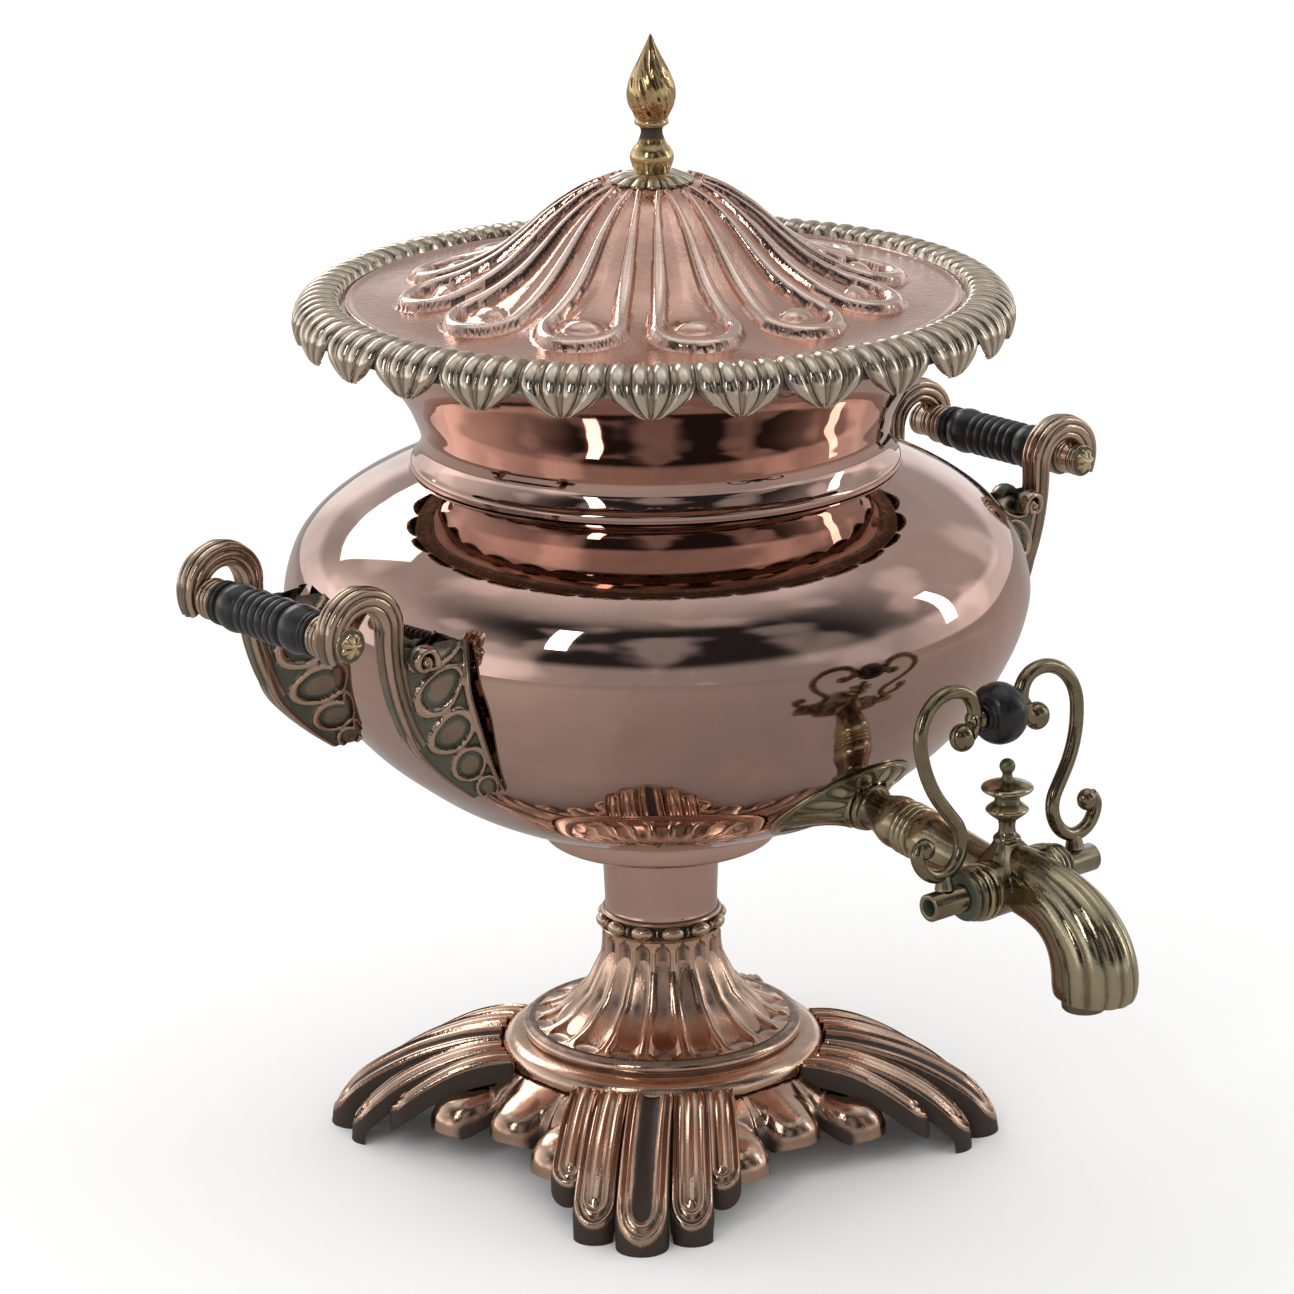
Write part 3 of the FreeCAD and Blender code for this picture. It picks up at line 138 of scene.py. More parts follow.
def even(line: Sequence[Sequence[float]], count: int) -> list[tuple[float, ...]]:
    """The same line with its points at even distances."""
    lengths = [0.0]
    for a, b in zip(line, line[1:]):
        lengths.append(lengths[-1] + math.dist(a, b))
    points, i = [], 0
    for k in range(count + 1):
        goal = lengths[-1] * k / count
        while i < len(lengths) - 2 and lengths[i + 1] < goal:
            i += 1
        span = max(lengths[i + 1] - lengths[i], 1e-9)
        t = (goal - lengths[i]) / span
        points.append(tuple(mix(a, b, t) for a, b in zip(line[i], line[i + 1])))
    return points


def slot_depth(x: float, y: float, start: Pair, start_half: float, end: Pair, end_half: float) -> float:
    """How far a point lies inside a tapered slot with a round end; negative outside it.

    Args:
        x: The point's first coordinate.
        y: Its second coordinate.
        start: The middle of the slot's flat end.
        start_half: Half the slot's width there.
        end: The centre of its round end.
        end_half: The round end's radius.

    Returns:
        The distance to the nearest edge.
    """
    dx, dy = end[0] - start[0], end[1] - start[1]
    length = math.hypot(dx, dy)
    along = ((x - start[0]) * dx + (y - start[1]) * dy) / length
    across = abs((y - start[1]) * dx - (x - start[0]) * dy) / length
    t = clamp(along / length)
    half = mix(start_half, end_half, t)
    if along > length:
        return half - math.hypot(along - length, across)
    if along < 0:
        return min(along, start_half - across)
    return half - across


def radius_at(line: Sequence[Pair], z: float) -> float:
    """The radius of an outline of (radius, height) at a height."""
    for (r0, z0), (r1, z1) in zip(line, line[1:]):
        if min(z0, z1) <= z <= max(z0, z1) and z0 != z1:
            return mix(r0, r1, (z - z0) / (z1 - z0))
    return line[-1][0]


def height_on(line: Sequence[Pair], r: float) -> float:
    """The height of an outline of (radius, height) at a radius."""
    for (r0, z0), (r1, z1) in zip(line, line[1:]):
        if r0 <= r <= r1:
            return mix(z0, z1, (r - r0) / max(r1 - r0, 1e-9))
    return line[0][1] if r < line[0][0] else line[-1][1]


def height_at(points: Sequence[Pair], r: float) -> float:
    """The height of a smooth line of (radius, height) at a radius."""
    if r <= points[0][0]:
        return points[0][1]
    for i in range(len(points) - 1):
        (r0, z0), (r1, z1) = points[i], points[i + 1]
        if r <= r1:
            before = points[max(i - 1, 0)]
            after = points[min(i + 2, len(points) - 1)]
            slope0 = (z1 - before[1]) / (r1 - before[0])
            slope1 = (after[1] - z0) / (after[0] - r0)
            t, span = (r - r0) / (r1 - r0), r1 - r0
            return ((2 * t ** 3 - 3 * t ** 2 + 1) * z0 + (t ** 3 - 2 * t ** 2 + t) * span * slope0
                    + (-2 * t ** 3 + 3 * t ** 2) * z1 + (t ** 3 - t ** 2) * span * slope1)
    return points[-1][1]


def around(co: Vector) -> float:
    """A point's distance from the Z axis, in millimetres."""
    return math.hypot(co.x, co.y) / MM


# Meshes

def lathe(outline: Sequence[Pair], steps: int, closed: bool = False) -> bmesh.types.BMesh:
    """Spins an outline of (radius, height) in millimetres about the Z axis.

    Args:
        outline: The profile, in order.
        steps: How many steps the turn has.
        closed: Whether the last point joins the first, for a wall with thickness.

    Returns:
        The spun mesh, in metres.
    """
    bm = bmesh.new()
    verts = [bm.verts.new((r * MM, 0.0, z * MM)) for r, z in outline]
    pairs = list(zip(verts, verts[1:])) + ([(verts[-1], verts[0])] if closed else [])
    edges = [bm.edges.new(pair) for pair in pairs]
    parts = LATHE_PARTS if steps % LATHE_PARTS == 0 and len(verts) * steps > LATHE_LIMIT else 1
    bmesh.ops.spin(bm, geom=verts + edges, cent=(0, 0, 0), axis=Z_AXIS, dvec=(0, 0, 0), angle=2 * math.pi / parts,
                   steps=steps // parts, use_merge=parts == 1, use_duplicate=False)
    if parts > 1:
        repeated(bm, parts)
    bmesh.ops.remove_doubles(bm, verts=bm.verts, dist=1e-6)
    bmesh.ops.dissolve_degenerate(bm, edges=bm.edges, dist=1e-7)
    return bm


def sheet(columns: int, rows: int, place: Place, wrap: bool = False,
          relief: Callable[[float, float], float] | None = None) -> bmesh.types.BMesh:
    """A grid that a function lays out in space.

    Args:
        columns: Steps across, along u.
        rows: Steps along v.
        place: Gives the point for u and v, each from 0 to 1.
        wrap: Whether u = 1 meets u = 0.
        relief: Gives how high the point for u and v stands in its ornament, from 0 to 1.

    Returns:
        The mesh, with its open seam closed where it wraps.
    """
    bm = bmesh.new()
    bmesh.ops.create_grid(bm, x_segments=columns, y_segments=rows, size=0.5)
    layer = bm.verts.layers.float.new("relief") if relief else None
    for vert in bm.verts:
        u, v = clamp(vert.co.x + 0.5), clamp(vert.co.y + 0.5)
        if relief:
            vert[layer] = clamp(relief(u, v))
        vert.co = place(u, v)
    if wrap:
        bmesh.ops.remove_doubles(bm, verts=bm.verts, dist=2e-6)
    return bm


def sweep(section: Sequence[Pair], frames: Sequence[Frame]) -> bmesh.types.BMesh:
    """Extrudes a closed section along a row of frames, and closes its ends.

    Args:
        section: The section's points, along each frame's two directions.
        frames: Each frame's centre, first direction, second direction and scale.

    Returns:
        The swept mesh.
    """
    bm = bmesh.new()
    centre, first, second, scale = frames[0]
    verts = [bm.verts.new(centre + (first * a + second * b) * scale) for a, b in section]
    edges = [bm.edges.new((verts[i], verts[(i + 1) % len(verts)])) for i in range(len(verts))]
    ring, rims = edges, [list(verts)]
    for centre, first, second, scale in frames[1:]:
        grown = bmesh.ops.extrude_edge_only(bm, edges=ring)["geom"]
        fresh = [item for item in grown if isinstance(item, bmesh.types.BMVert)]
        linked = {edge.other_vert(vert): vert for vert in fresh for edge in vert.link_edges}
        rim = [linked[vert] for vert in rims[-1]]
        for vert, (a, b) in zip(rim, section):
            vert.co = centre + (first * a + second * b) * scale
        ring = [item for item in grown if isinstance(item, bmesh.types.BMEdge)
                and item.verts[0] in fresh and item.verts[1] in fresh]
        rims.append(rim)
    bm.faces.new(rims[0])
    bm.faces.new(reversed(rims[-1]))
    return bm


def round_section(radius: float, count: int = 20) -> list[Pair]:
    """The points of a round section."""
    return [(radius * math.cos(2 * math.pi * i / count), radius * math.sin(2 * math.pi * i / count))
            for i in range(count)]


def path_frames(points: Sequence[Vector], out: Vector, scale: Callable[[float], float]) -> list[Frame]:
    """Frames square to a flat path, with their second direction along out."""
    frames = []
    for i, point in enumerate(points):
        ahead = points[min(i + 1, len(points) - 1)] - points[max(i - 1, 0)]
        ahead.normalize()
        frames.append((point, out.cross(ahead).normalized(), out, scale(i / (len(points) - 1))))
    return frames


def bend_path(start: Pair, heading: float, steps: Sequence[Pair], per_turn: float) -> list[Pair]:
    """The points of a row of tangent bends and straight runs.

    Args:
        start: Where the path begins.
        heading: Its first direction, in degrees.
        steps: Each bend's radius and turn in degrees, or a run's length and 0.
        per_turn: How many degrees of a bend there are between two points.

    Returns:
        The points of the path.
    """
    points, here, angle = [start], start, math.radians(heading)
    for size, turn in steps:
        if turn == 0:
            here = (here[0] + size * math.cos(angle), here[1] + size * math.sin(angle))
            points.append(here)
            continue
        reach = math.copysign(size, turn)
        centre = (here[0] - reach * math.sin(angle), here[1] + reach * math.cos(angle))
        first = math.atan2(here[1] - centre[1], here[0] - centre[0])
        count = max(2, round(abs(turn) / per_turn))
        for i in range(1, count + 1):
            a = first + math.radians(turn) * i / count
            here = (centre[0] + size * math.cos(a), centre[1] + size * math.sin(a))
            points.append(here)
        angle += math.radians(turn)
    return points


def ball(centre: Vector, scale: Sequence[float], segments: int = 24) -> bmesh.types.BMesh:
    """A rounded bead, from a sphere scaled along each axis, in metres."""
    bm = bmesh.new()
    bmesh.ops.create_uvsphere(bm, u_segments=segments, v_segments=segments // 2, radius=1.0)
    bmesh.ops.scale(bm, vec=scale, verts=bm.verts)
    bmesh.ops.translate(bm, vec=centre, verts=bm.verts)
    return bm


def joined(meshes: Sequence[bmesh.types.BMesh]) -> bmesh.types.BMesh:
    """Puts several meshes into one."""
    whole = bmesh.new()
    for bm in meshes:
        part = bpy.data.meshes.new("part")
        bm.to_mesh(part)
        bm.free()
        whole.from_mesh(part)
        bpy.data.meshes.remove(part)
    return whole


def repeated(bm: bmesh.types.BMesh, count: int, start: float = 0.0) -> bmesh.types.BMesh:
    """Copies a mesh evenly about the Z axis."""
    bmesh.ops.rotate(bm, cent=(0, 0, 0), matrix=Matrix.Rotation(math.radians(start), 3, "Z"), verts=bm.verts)
    geom = bm.verts[:] + bm.edges[:] + bm.faces[:]
    bmesh.ops.spin(bm, geom=geom, cent=(0, 0, 0), axis=(0, 0, 1), dvec=(0, 0, 0), steps=count - 1,
                   angle=2 * math.pi * (count - 1) / count, use_duplicate=True, use_merge=False)
    return bm


def moved(bm: bmesh.types.BMesh, matrix: Matrix) -> bmesh.types.BMesh:
    """Applies a transform to a whole mesh."""
    bmesh.ops.transform(bm, matrix=matrix, verts=bm.verts)
    return bm


def faced(bm: bmesh.types.BMesh, way: Vector = Z_AXIS) -> bmesh.types.BMesh:
    """Turns a sheet's faces so that they look along a direction."""
    bmesh.ops.recalc_face_normals(bm, faces=bm.faces)
    if sum(face.normal.dot(way) for face in bm.faces) < 0:
        bmesh.ops.reverse_faces(bm, faces=bm.faces)
    return bm


def thicken(bm: bmesh.types.BMesh, wall: float) -> bmesh.types.BMesh:
    """Gives a sheet its wall, on the side that its normals point away from."""
    bm.normal_update()
    before = {vert: vert.co - vert.normal * wall for vert in bm.verts}
    bmesh.ops.extrude_face_region(bm, geom=bm.faces[:])
    for vert, co in before.items():
        vert.co = co
    bmesh.ops.recalc_face_normals(bm, faces=bm.faces)
    return bm


def set_relief(bm: bmesh.types.BMesh, relief: Callable[[Vector], float]) -> bmesh.types.BMesh:
    """Stores how high each point stands in its ornament, from 0 in a hollow to 1 on a crest."""
    layer = bm.verts.layers.float.get("relief") or bm.verts.layers.float.new("relief")
    for vert in bm.verts:
        vert[layer] = relief(vert.co)
    return bm


def ringed(bm: bmesh.types.BMesh, root: float, rise: float, share: float = 1.0,
           least: float = 0.0) -> bmesh.types.BMesh:
    """Stores the relief of a turned piece, which grows from a root radius over a rise, in millimetres."""
    return set_relief(bm, lambda co: clamp((around(co) - root) / rise) * share + least)


def add_piece(bm: bmesh.types.BMesh, name: str, finish: "Finish", body: Rides, stands_for: Sequence[str] = (),
              sharp: float = 38.0, outward: bool = True) -> bpy.types.Object:
    """Makes a mesh a dressed piece that rides on a body.

    Args:
        bm: The mesh; it is freed.
        name: The piece's name.
        finish: The finish that it takes.
        body: The body that it rides on.
        stands_for: Nodes of the frame that it replaces.
        sharp: Edges that turn more than this many degrees stay sharp.
        outward: Whether the faces are turned outwards first.

    Returns:
        The new object.
    """
    if outward:
        bmesh.ops.recalc_face_normals(bm, faces=bm.faces)
    mesh = bpy.data.meshes.new(name)
    bm.to_mesh(mesh)
    bm.free()
    mesh.polygons.foreach_set("use_smooth", [True] * len(mesh.polygons))
    mesh.set_sharp_from_angle(angle=math.radians(sharp))
    piece = bpy.data.objects.new(name, mesh)
    bpy.context.scene.collection.objects.link(piece)
    mesh.materials.append(finish.material())
    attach(piece, body.value)
    if stands_for:
        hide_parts(*stands_for)
    log.info("%s: %d faces", name, len(mesh.polygons))
    return piece


# Finishes

class Nodes:
    """Adds nodes to a tree, row by row, and joins them."""

    def __init__(self, tree: bpy.types.NodeTree) -> None:
        """Keeps the tree."""
        self.tree = tree

    def add(self, kind: str, **inputs: object) -> bpy.types.Node:
        """A node of a kind, with plain values or other nodes' sockets set on its inputs by name."""
        node = self.tree.nodes.new(kind)
        for name, value in inputs.items():
            self.feed(node.inputs[name.replace("_", " ")], value)
        return node

    def feed(self, socket: bpy.types.NodeSocket, value: object) -> None:
        """Joins a socket to another node's socket, or sets its value."""
        if isinstance(value, bpy.types.NodeSocket):
            self.tree.links.new(value, socket)
        else:
            socket.default_value = value

    def math(self, operation: str, a: object, b: object = 0.0, hold: bool = False) -> bpy.types.NodeSocket:
        """The result of one operation on two numbers."""
        node = self.add("ShaderNodeMath")
        node.operation = operation
        node.use_clamp = hold
        self.feed(node.inputs[0], a)
        self.feed(node.inputs[1], b)
        return node.outputs[0]

    def span(self, value: object, low: float, high: float, to_low: float = 0.0,
             to_high: float = 1.0) -> bpy.types.NodeSocket:
        """A number mapped from one range to another, held inside it."""
        node = self.add("ShaderNodeMapRange")
        node.interpolation_type = "SMOOTHSTEP"
        for name, number in zip(("From Min", "From Max", "To Min", "To Max"), (low, high, to_low, to_high)):
            self.feed(node.inputs[name], number)
        self.feed(node.inputs["Value"], value)
        return node.outputs[0]

    def blend(self, share: object, a: object, b: object) -> bpy.types.NodeSocket:
        """Two colours mixed by a share."""
        node = self.add("ShaderNodeMix")
        node.data_type = "RGBA"
        self.feed(node.inputs[0], share)
        self.feed(node.inputs[MIX_A], a)
        self.feed(node.inputs[MIX_B], b)
        return node.outputs[MIX_RESULT]

    def noise(self, coordinates: object, scale: object, detail: float, rough: float,
              warp: float = 0.0) -> bpy.types.NodeSocket:
        """Cloudy noise from 0 to 1."""
        node = self.add("ShaderNodeTexNoise", Vector=coordinates, Scale=scale, Detail=detail, Roughness=rough,
                        Distortion=warp)
        return node.outputs["Fac"]


def new_group(name: str, takes: dict[str, float], gives: Sequence[str]) -> tuple[bpy.types.NodeTree, Nodes,
                                                                               bpy.types.Node, bpy.types.Node]:
    """An empty group of nodes with named numbers in and out.

    Args:
        name: The group's name.
        takes: The inputs and their usual values.
        gives: The outputs.

    Returns:
        The group, its helper, its input node and its output node.
    """
    group = bpy.data.node_groups.new(name, "ShaderNodeTree")
    for label, value in takes.items():
        group.interface.new_socket(name=label, in_out="INPUT", socket_type="NodeSocketFloat").default_value = value
    for label in gives:
        group.interface.new_socket(name=label, in_out="OUTPUT", socket_type="NodeSocketFloat")
    nodes = Nodes(group)
    return group, nodes, nodes.add("NodeGroupInput"), nodes.add("NodeGroupOutput")


def mottle_group() -> bpy.types.NodeTree:
    """Cloudy tarnish and fine handling marks on metal, at sizes given per metre."""
    if "mottle" in bpy.data.node_groups:
        return bpy.data.node_groups["mottle"]
    group, nodes, takes, gives = new_group("mottle", {"Cloud": 14.0, "Grain": 420.0}, ["Clouds", "Spots", "Marks"])
    place = nodes.add("ShaderNodeTexCoord").outputs["Object"]
    cloud = nodes.noise(place, takes.outputs["Cloud"], 5.0, 0.6, 0.6)
    fine = nodes.noise(place, takes.outputs["Grain"], 3.0, 0.6)
    spot = nodes.add("ShaderNodeTexVoronoi", Vector=place, Scale=nodes.math("MULTIPLY", takes.outputs["Cloud"], 9.0))
    nodes.feed(gives.inputs["Clouds"], nodes.span(cloud, 0.3, 0.72))
    nodes.feed(gives.inputs["Spots"], nodes.math("MULTIPLY", nodes.span(spot.outputs["Distance"], 0.2, 0.03),
                                                 nodes.span(cloud, 0.5, 0.62)))
    nodes.feed(gives.inputs["Marks"], fine)
    return group


def hollows_group() -> bpy.types.NodeTree:
    """Hollows and crests, from the stored relief and from the edges: the hollows take dirt and painted shade, the
    crests the wear of hands.
    """
    if "hollows" in bpy.data.node_groups:
        return bpy.data.node_groups["hollows"]
    group, nodes, takes, gives = new_group("hollows", {"Carved": 1.0, "Edges": 1.0}, ["Hollow", "Crest"])
    place = nodes.add("ShaderNodeTexCoord").outputs["Object"]
    relief = nodes.add("ShaderNodeAttribute")
    relief.attribute_name = "relief"
    ragged = nodes.noise(place, 160.0, 4.0, 0.65)
    level = nodes.math("ADD", relief.outputs["Fac"], nodes.math("MULTIPLY", nodes.math("SUBTRACT", ragged, 0.5), 0.35))
    # Low relief: dirt, and painted shade in the recesses.
    low = nodes.math("MULTIPLY", nodes.span(level, 0.42, 0.05), takes.outputs["Carved"])
    high = nodes.math("MULTIPLY", nodes.span(level, 0.55, 0.95), takes.outputs["Carved"])
    # Concave edges from pointiness: painted shade in creases, together with dirt.
    point = nodes.add("ShaderNodeNewGeometry").outputs["Pointiness"]
    edge_low = nodes.math("MULTIPLY", nodes.span(point, 0.49, 0.42), takes.outputs["Edges"])
    edge_high = nodes.math("MULTIPLY", nodes.span(point, 0.52, 0.6), takes.outputs["Edges"])
    nodes.feed(gives.inputs["Hollow"], nodes.math("MAXIMUM", low, edge_low, hold=True))
    nodes.feed(gives.inputs["Crest"], nodes.math("MAXIMUM", high, edge_high, hold=True))
    return group


@dataclass(frozen=True)
class Finish:
    """A surface: old metal or turned wood, with tarnish, dirt and painted shade in its hollows, and wear on its crests.
    """

    name: str
    slot: str
    colour: tuple[float, float, float]
    tarnish: tuple[float, float, float]
    # Colour of the hollows: dirt together with painted shade.
    dirt_and_shade: tuple[float, float, float]
    bright: tuple[float, float, float]
    metallic: float = 1.0
    rough: Pair = (0.12, 0.3)
    tarnish_share: float = 0.5
    dirt_and_shade_share: float = 0.9
    bright_share: float = 0.6
    carved: float = 1.0
    edges: float = 0.6
    cloud: float = 14.0
    grain: float = 420.0
    bump: float = 0.05
    coat: float = 0.0

    def material(self) -> bpy.types.Material:
        """The finish's material, made the first time that it is asked for."""
        label = f"{self.name}_aged"
        found = bpy.data.materials.get(label)
        if found:
            return found
        material = bpy.data.materials.new(label)
        material.use_nodes = True
        tree = material.node_tree
        tree.nodes.clear()
        nodes = Nodes(tree)
        mottle = nodes.add("ShaderNodeGroup")
        mottle.node_tree = mottle_group()
        mottle.inputs["Cloud"].default_value = self.cloud
        mottle.inputs["Grain"].default_value = self.grain
        hollows = nodes.add("ShaderNodeGroup")
        hollows.node_tree = hollows_group()
        hollows.inputs["Carved"].default_value = self.carved
        hollows.inputs["Edges"].default_value = self.edges
        stain = nodes.math("MULTIPLY", mottle.outputs["Clouds"], self.tarnish_share)
        stain = nodes.math("MAXIMUM", stain, nodes.math("MULTIPLY", mottle.outputs["Spots"], self.tarnish_share))
        # Painted shade and dirt: the hollows are darkened towards the hollow colour.
        dirt_and_shade_mask = nodes.math("MULTIPLY", hollows.outputs["Hollow"], self.dirt_and_shade_share)
        worn = nodes.math("MULTIPLY", hollows.outputs["Crest"], self.bright_share)
        colour = nodes.blend(stain, (*self.colour, 1), (*self.tarnish, 1))
        colour = nodes.blend(worn, colour, (*self.bright, 1))
        colour = nodes.blend(dirt_and_shade_mask, colour, (*self.dirt_and_shade, 1))
        rough = nodes.math("ADD", nodes.span(mottle.outputs["Clouds"], 0.0, 1.0, *self.rough),
                           nodes.math("MULTIPLY", dirt_and_shade_mask, 0.35), hold=True)
        metallic = nodes.math("SUBTRACT", self.metallic, nodes.math("MULTIPLY", dirt_and_shade_mask, 0.75 * self.metallic), hold=True)
        bump = nodes.add("ShaderNodeBump", Strength=self.bump, Distance=0.0004, Height=mottle.outputs["Marks"])
        shader = nodes.add("ShaderNodeBsdfPrincipled", Base_Color=colour, Roughness=rough, Metallic=metallic,
                           Normal=bump.outputs["Normal"])
        shader.inputs["Coat Weight"].default_value = self.coat
        shader.inputs["Coat Roughness"].default_value = 0.25
        out = nodes.add("ShaderNodeOutputMaterial")
        tree.links.new(shader.outputs[0], out.inputs["Surface"])
        return material


@dataclass(frozen=True)
class Finishes:
    """Every finish of the urn."""

    # Each finish's fourth colour darkens its hollows: dirt together with painted shade.
    body: Finish = Finish("body_copper", "body_copper", (0.74, 0.49, 0.41), (0.36, 0.26, 0.23), (0.12, 0.06, 0.04),
                          (0.86, 0.6, 0.5), rough=(0.015, 0.075), tarnish_share=0.7, carved=0.0, edges=0.2,
                          cloud=9.0, grain=60.0, bump=0.03)
    lid: Finish = Finish("lid_copper", "lid_copper", (0.78, 0.5, 0.41), (0.56, 0.33, 0.25), (0.2, 0.09, 0.05),
                         (0.95, 0.76, 0.66), rough=(0.04, 0.13), tarnish_share=0.6, dirt_and_shade_share=0.6, cloud=26.0,
                         edges=0.5, grain=500.0, bump=0.3)
    foot: Finish = Finish("foot_copper", "foot_copper", (0.74, 0.49, 0.37), (0.44, 0.28, 0.2), (0.045, 0.03, 0.022),
                          (0.9, 0.66, 0.5), rough=(0.06, 0.18), tarnish_share=0.7, dirt_and_shade_share=1.0, cloud=30.0,
                          grain=900.0, bump=0.2)
    collar: Finish = Finish("collar_brass", "collar_brass", (0.5, 0.36, 0.26), (0.24, 0.18, 0.13),
                            (0.05, 0.04, 0.03), (0.82, 0.66, 0.5), rough=(0.15, 0.35), tarnish_share=0.6,
                            dirt_and_shade_share=1.0, cloud=60.0)
    rim: Finish = Finish("rim_brass", "rim_brass", (0.48, 0.38, 0.29), (0.27, 0.2, 0.15), (0.035, 0.028, 0.022),
                         (0.84, 0.74, 0.6), rough=(0.08, 0.2), tarnish_share=0.6, dirt_and_shade_share=1.0,
                         bright_share=0.7, cloud=34.0, grain=900.0, bump=0.15)
    rosette: Finish = Finish("rosette_brass", "rosette_brass", (0.5, 0.44, 0.34), (0.32, 0.27, 0.2),
                             (0.06, 0.045, 0.03), (0.86, 0.8, 0.66), rough=(0.14, 0.3), dirt_and_shade_share=1.0, cloud=70.0)
    finial: Finish = Finish("finial_brass", "finial_brass", (0.46, 0.31, 0.15), (0.26, 0.17, 0.08),
                            (0.06, 0.035, 0.018), (0.8, 0.6, 0.32), rough=(0.1, 0.22), dirt_and_shade_share=1.0, cloud=60.0)
    shell: Finish = Finish("shell_gilt", "finial_brass", (0.62, 0.46, 0.26), (0.36, 0.26, 0.14),
                           (0.07, 0.045, 0.03), (0.95, 0.8, 0.52), rough=(0.14, 0.3), dirt_and_shade_share=1.0, cloud=60.0)
    tap: Finish = Finish("tap_brass", "tap_brass", (0.3, 0.245, 0.155), (0.15, 0.125, 0.08), (0.05, 0.075, 0.05),
                         (0.7, 0.6, 0.4), rough=(0.08, 0.2), tarnish_share=0.75, dirt_and_shade_share=0.95, cloud=45.0,
                         grain=900.0, bump=0.15)
    nozzle: Finish = Finish("nozzle_bronze", "nozzle_bronze", (0.2, 0.15, 0.1), (0.08, 0.06, 0.045),
                            (0.04, 0.04, 0.03), (0.42, 0.34, 0.22), rough=(0.3, 0.5), cloud=80.0)
    bracket: Finish = Finish("bracket_bronze", "bracket_bronze", (0.36, 0.27, 0.2), (0.2, 0.15, 0.11),
                             (0.035, 0.055, 0.038), (0.78, 0.58, 0.44), rough=(0.09, 0.24), tarnish_share=0.7,
                             dirt_and_shade_share=0.85, cloud=50.0, grain=900.0, bump=0.15)
    ebony: Finish = Finish("ebony", "ebony", (0.004, 0.004, 0.005), (0.009, 0.009, 0.009), (0.014, 0.013, 0.012),
                           (0.016, 0.016, 0.018), metallic=0.0, rough=(0.2, 0.42), tarnish_share=0.6,
                           dirt_and_shade_share=0.4, cloud=90.0, grain=1400.0, bump=0.15, coat=0.2)
    tinned: Finish = Finish("tinned_lining", "tinned_lining", (0.58, 0.57, 0.55), (0.4, 0.39, 0.37),
                            (0.15, 0.14, 0.13), (0.75, 0.75, 0.74), rough=(0.3, 0.5), carved=0.0, cloud=30.0)
    iron: Finish = Finish("dark_iron", "dark_iron", (0.13, 0.12, 0.11), (0.2, 0.1, 0.06), (0.04, 0.03, 0.03),
                          (0.3, 0.29, 0.28), rough=(0.45, 0.7), carved=0.0, cloud=60.0, bump=0.3)

    def by_slot(self) -> dict[str, Finish]:
        """The finish of each material slot in the record."""
        every = [self.body, self.lid, self.foot, self.collar, self.rim, self.rosette, self.finial, self.tap,
                 self.nozzle, self.bracket, self.ebony, self.tinned, self.iron]
        return {finish.slot: finish for finish in every}


# The vessel

@dataclass
class Vessel:
    """The spun body and neck, and the dish and spigot under them. Sizes in millimetres."""

    finish: Finish
    wall: float = 1.2
    dish_radius: float = 45.3
    dish_bottom: float = 121.5

    def body_line(self) -> list[Pair]:
        """The body's outer face, from its flat bottom to its mouth."""
        return curve([(34.0, 126.0), (48.0, 130.4), (65.7, 136.6), (84.0, 145.4), (98.4, 155.2), (113.0, 167.2),
                      (126.5, 182.8), (136.9, 200.3), (142.0, 214.5), (142.7, 226.0), (138.3, 240.8),
                      (130.6, 251.0), (119.4, 259.6), (106.0, 266.6), (92.8, 271.9)], 8)

    def neck_line(self) -> list[Pair]:
        """The neck's outer face, from its foot to the ledge."""
        return curve([(93.2, 272.2), (93.3, 274.6), (91.6, 276.8), (89.4, 281.0), (89.2, 284.6), (90.6, 289.4),
                      (94.2, 297.5), (100.0, 306.5), (107.0, 317.0), (116.4, 333.4)], 6)

    def build(self) -> None:
        """Builds the body and the neck as walls of even thickness."""
        line = self.body_line()
        inner = [(r - self.wall * 0.8, z) for r, z in line[::-1]]
        bm = lathe([(4.3, 126.0), *line, (88.0, 272.0), (88.0, 270.8), *inner[4:-4], (4.3, 127.2)], 320, closed=True)
        self.dent(bm)
        add_piece(bm, "body_skin", self.finish, Rides.URN, ["urn_body"], sharp=50)
        line = self.neck_line()
        inner = [(r - self.wall, z + 0.4) for r, z in line[::-1]]
        bm = lathe([*line, (115.0, 333.4), *inner[1:-3], (88.0, 273.4), (88.0, 272.2)], 256, closed=True)
        add_piece(bm, "neck_skin", self.finish, Rides.URN, ["urn_neck"], sharp=50)
        line = curve([(22.4, self.dish_bottom), (40.0, self.dish_bottom + 0.1), (44.4, self.dish_bottom + 1.2),
                      (self.dish_radius, self.dish_bottom + 3.4), (self.dish_radius, 129.2)], 6)
        bm = lathe([*line, (43.4, 129.0), (43.4, 123.6), (4.4, 123.6), (4.4, self.dish_bottom)], 192, closed=True)
        add_piece(bm, "dish_skin", self.finish, Rides.URN, ["body_dish"])
        line = curve([(22.2, 92.6), (21.9, 95.0), (22.2, 104.0), (22.8, 116.0), (24.2, 121.4)], 6)
        bm = lathe([*line, (21.0, 121.4), (20.4, 92.6)], 128, closed=True)
        add_piece(bm, "spigot_skin", self.finish, Rides.URN, ["pedestal_spigot"])

    def dent(self, bm: bmesh.types.BMesh) -> None:
        """Gives the old copper its slight unevenness, which shows in what it mirrors."""
        for vert in bm.verts:
            angle = math.atan2(vert.co.y, vert.co.x)
            height = vert.co.z / MM
            wave = (0.10 * math.sin(3 * angle + height * 0.031) + 0.05 * math.sin(7 * angle - height * 0.06)
                    + 0.025 * math.sin(13 * angle + height * 0.11))
            share = ease((height - 132.0) / 25.0) * ease((268.0 - height) / 20.0)
            out = Vector((vert.co.x, vert.co.y, 0.0)).normalized()
            vert.co += out * wave * share * MM


# The border of the rim

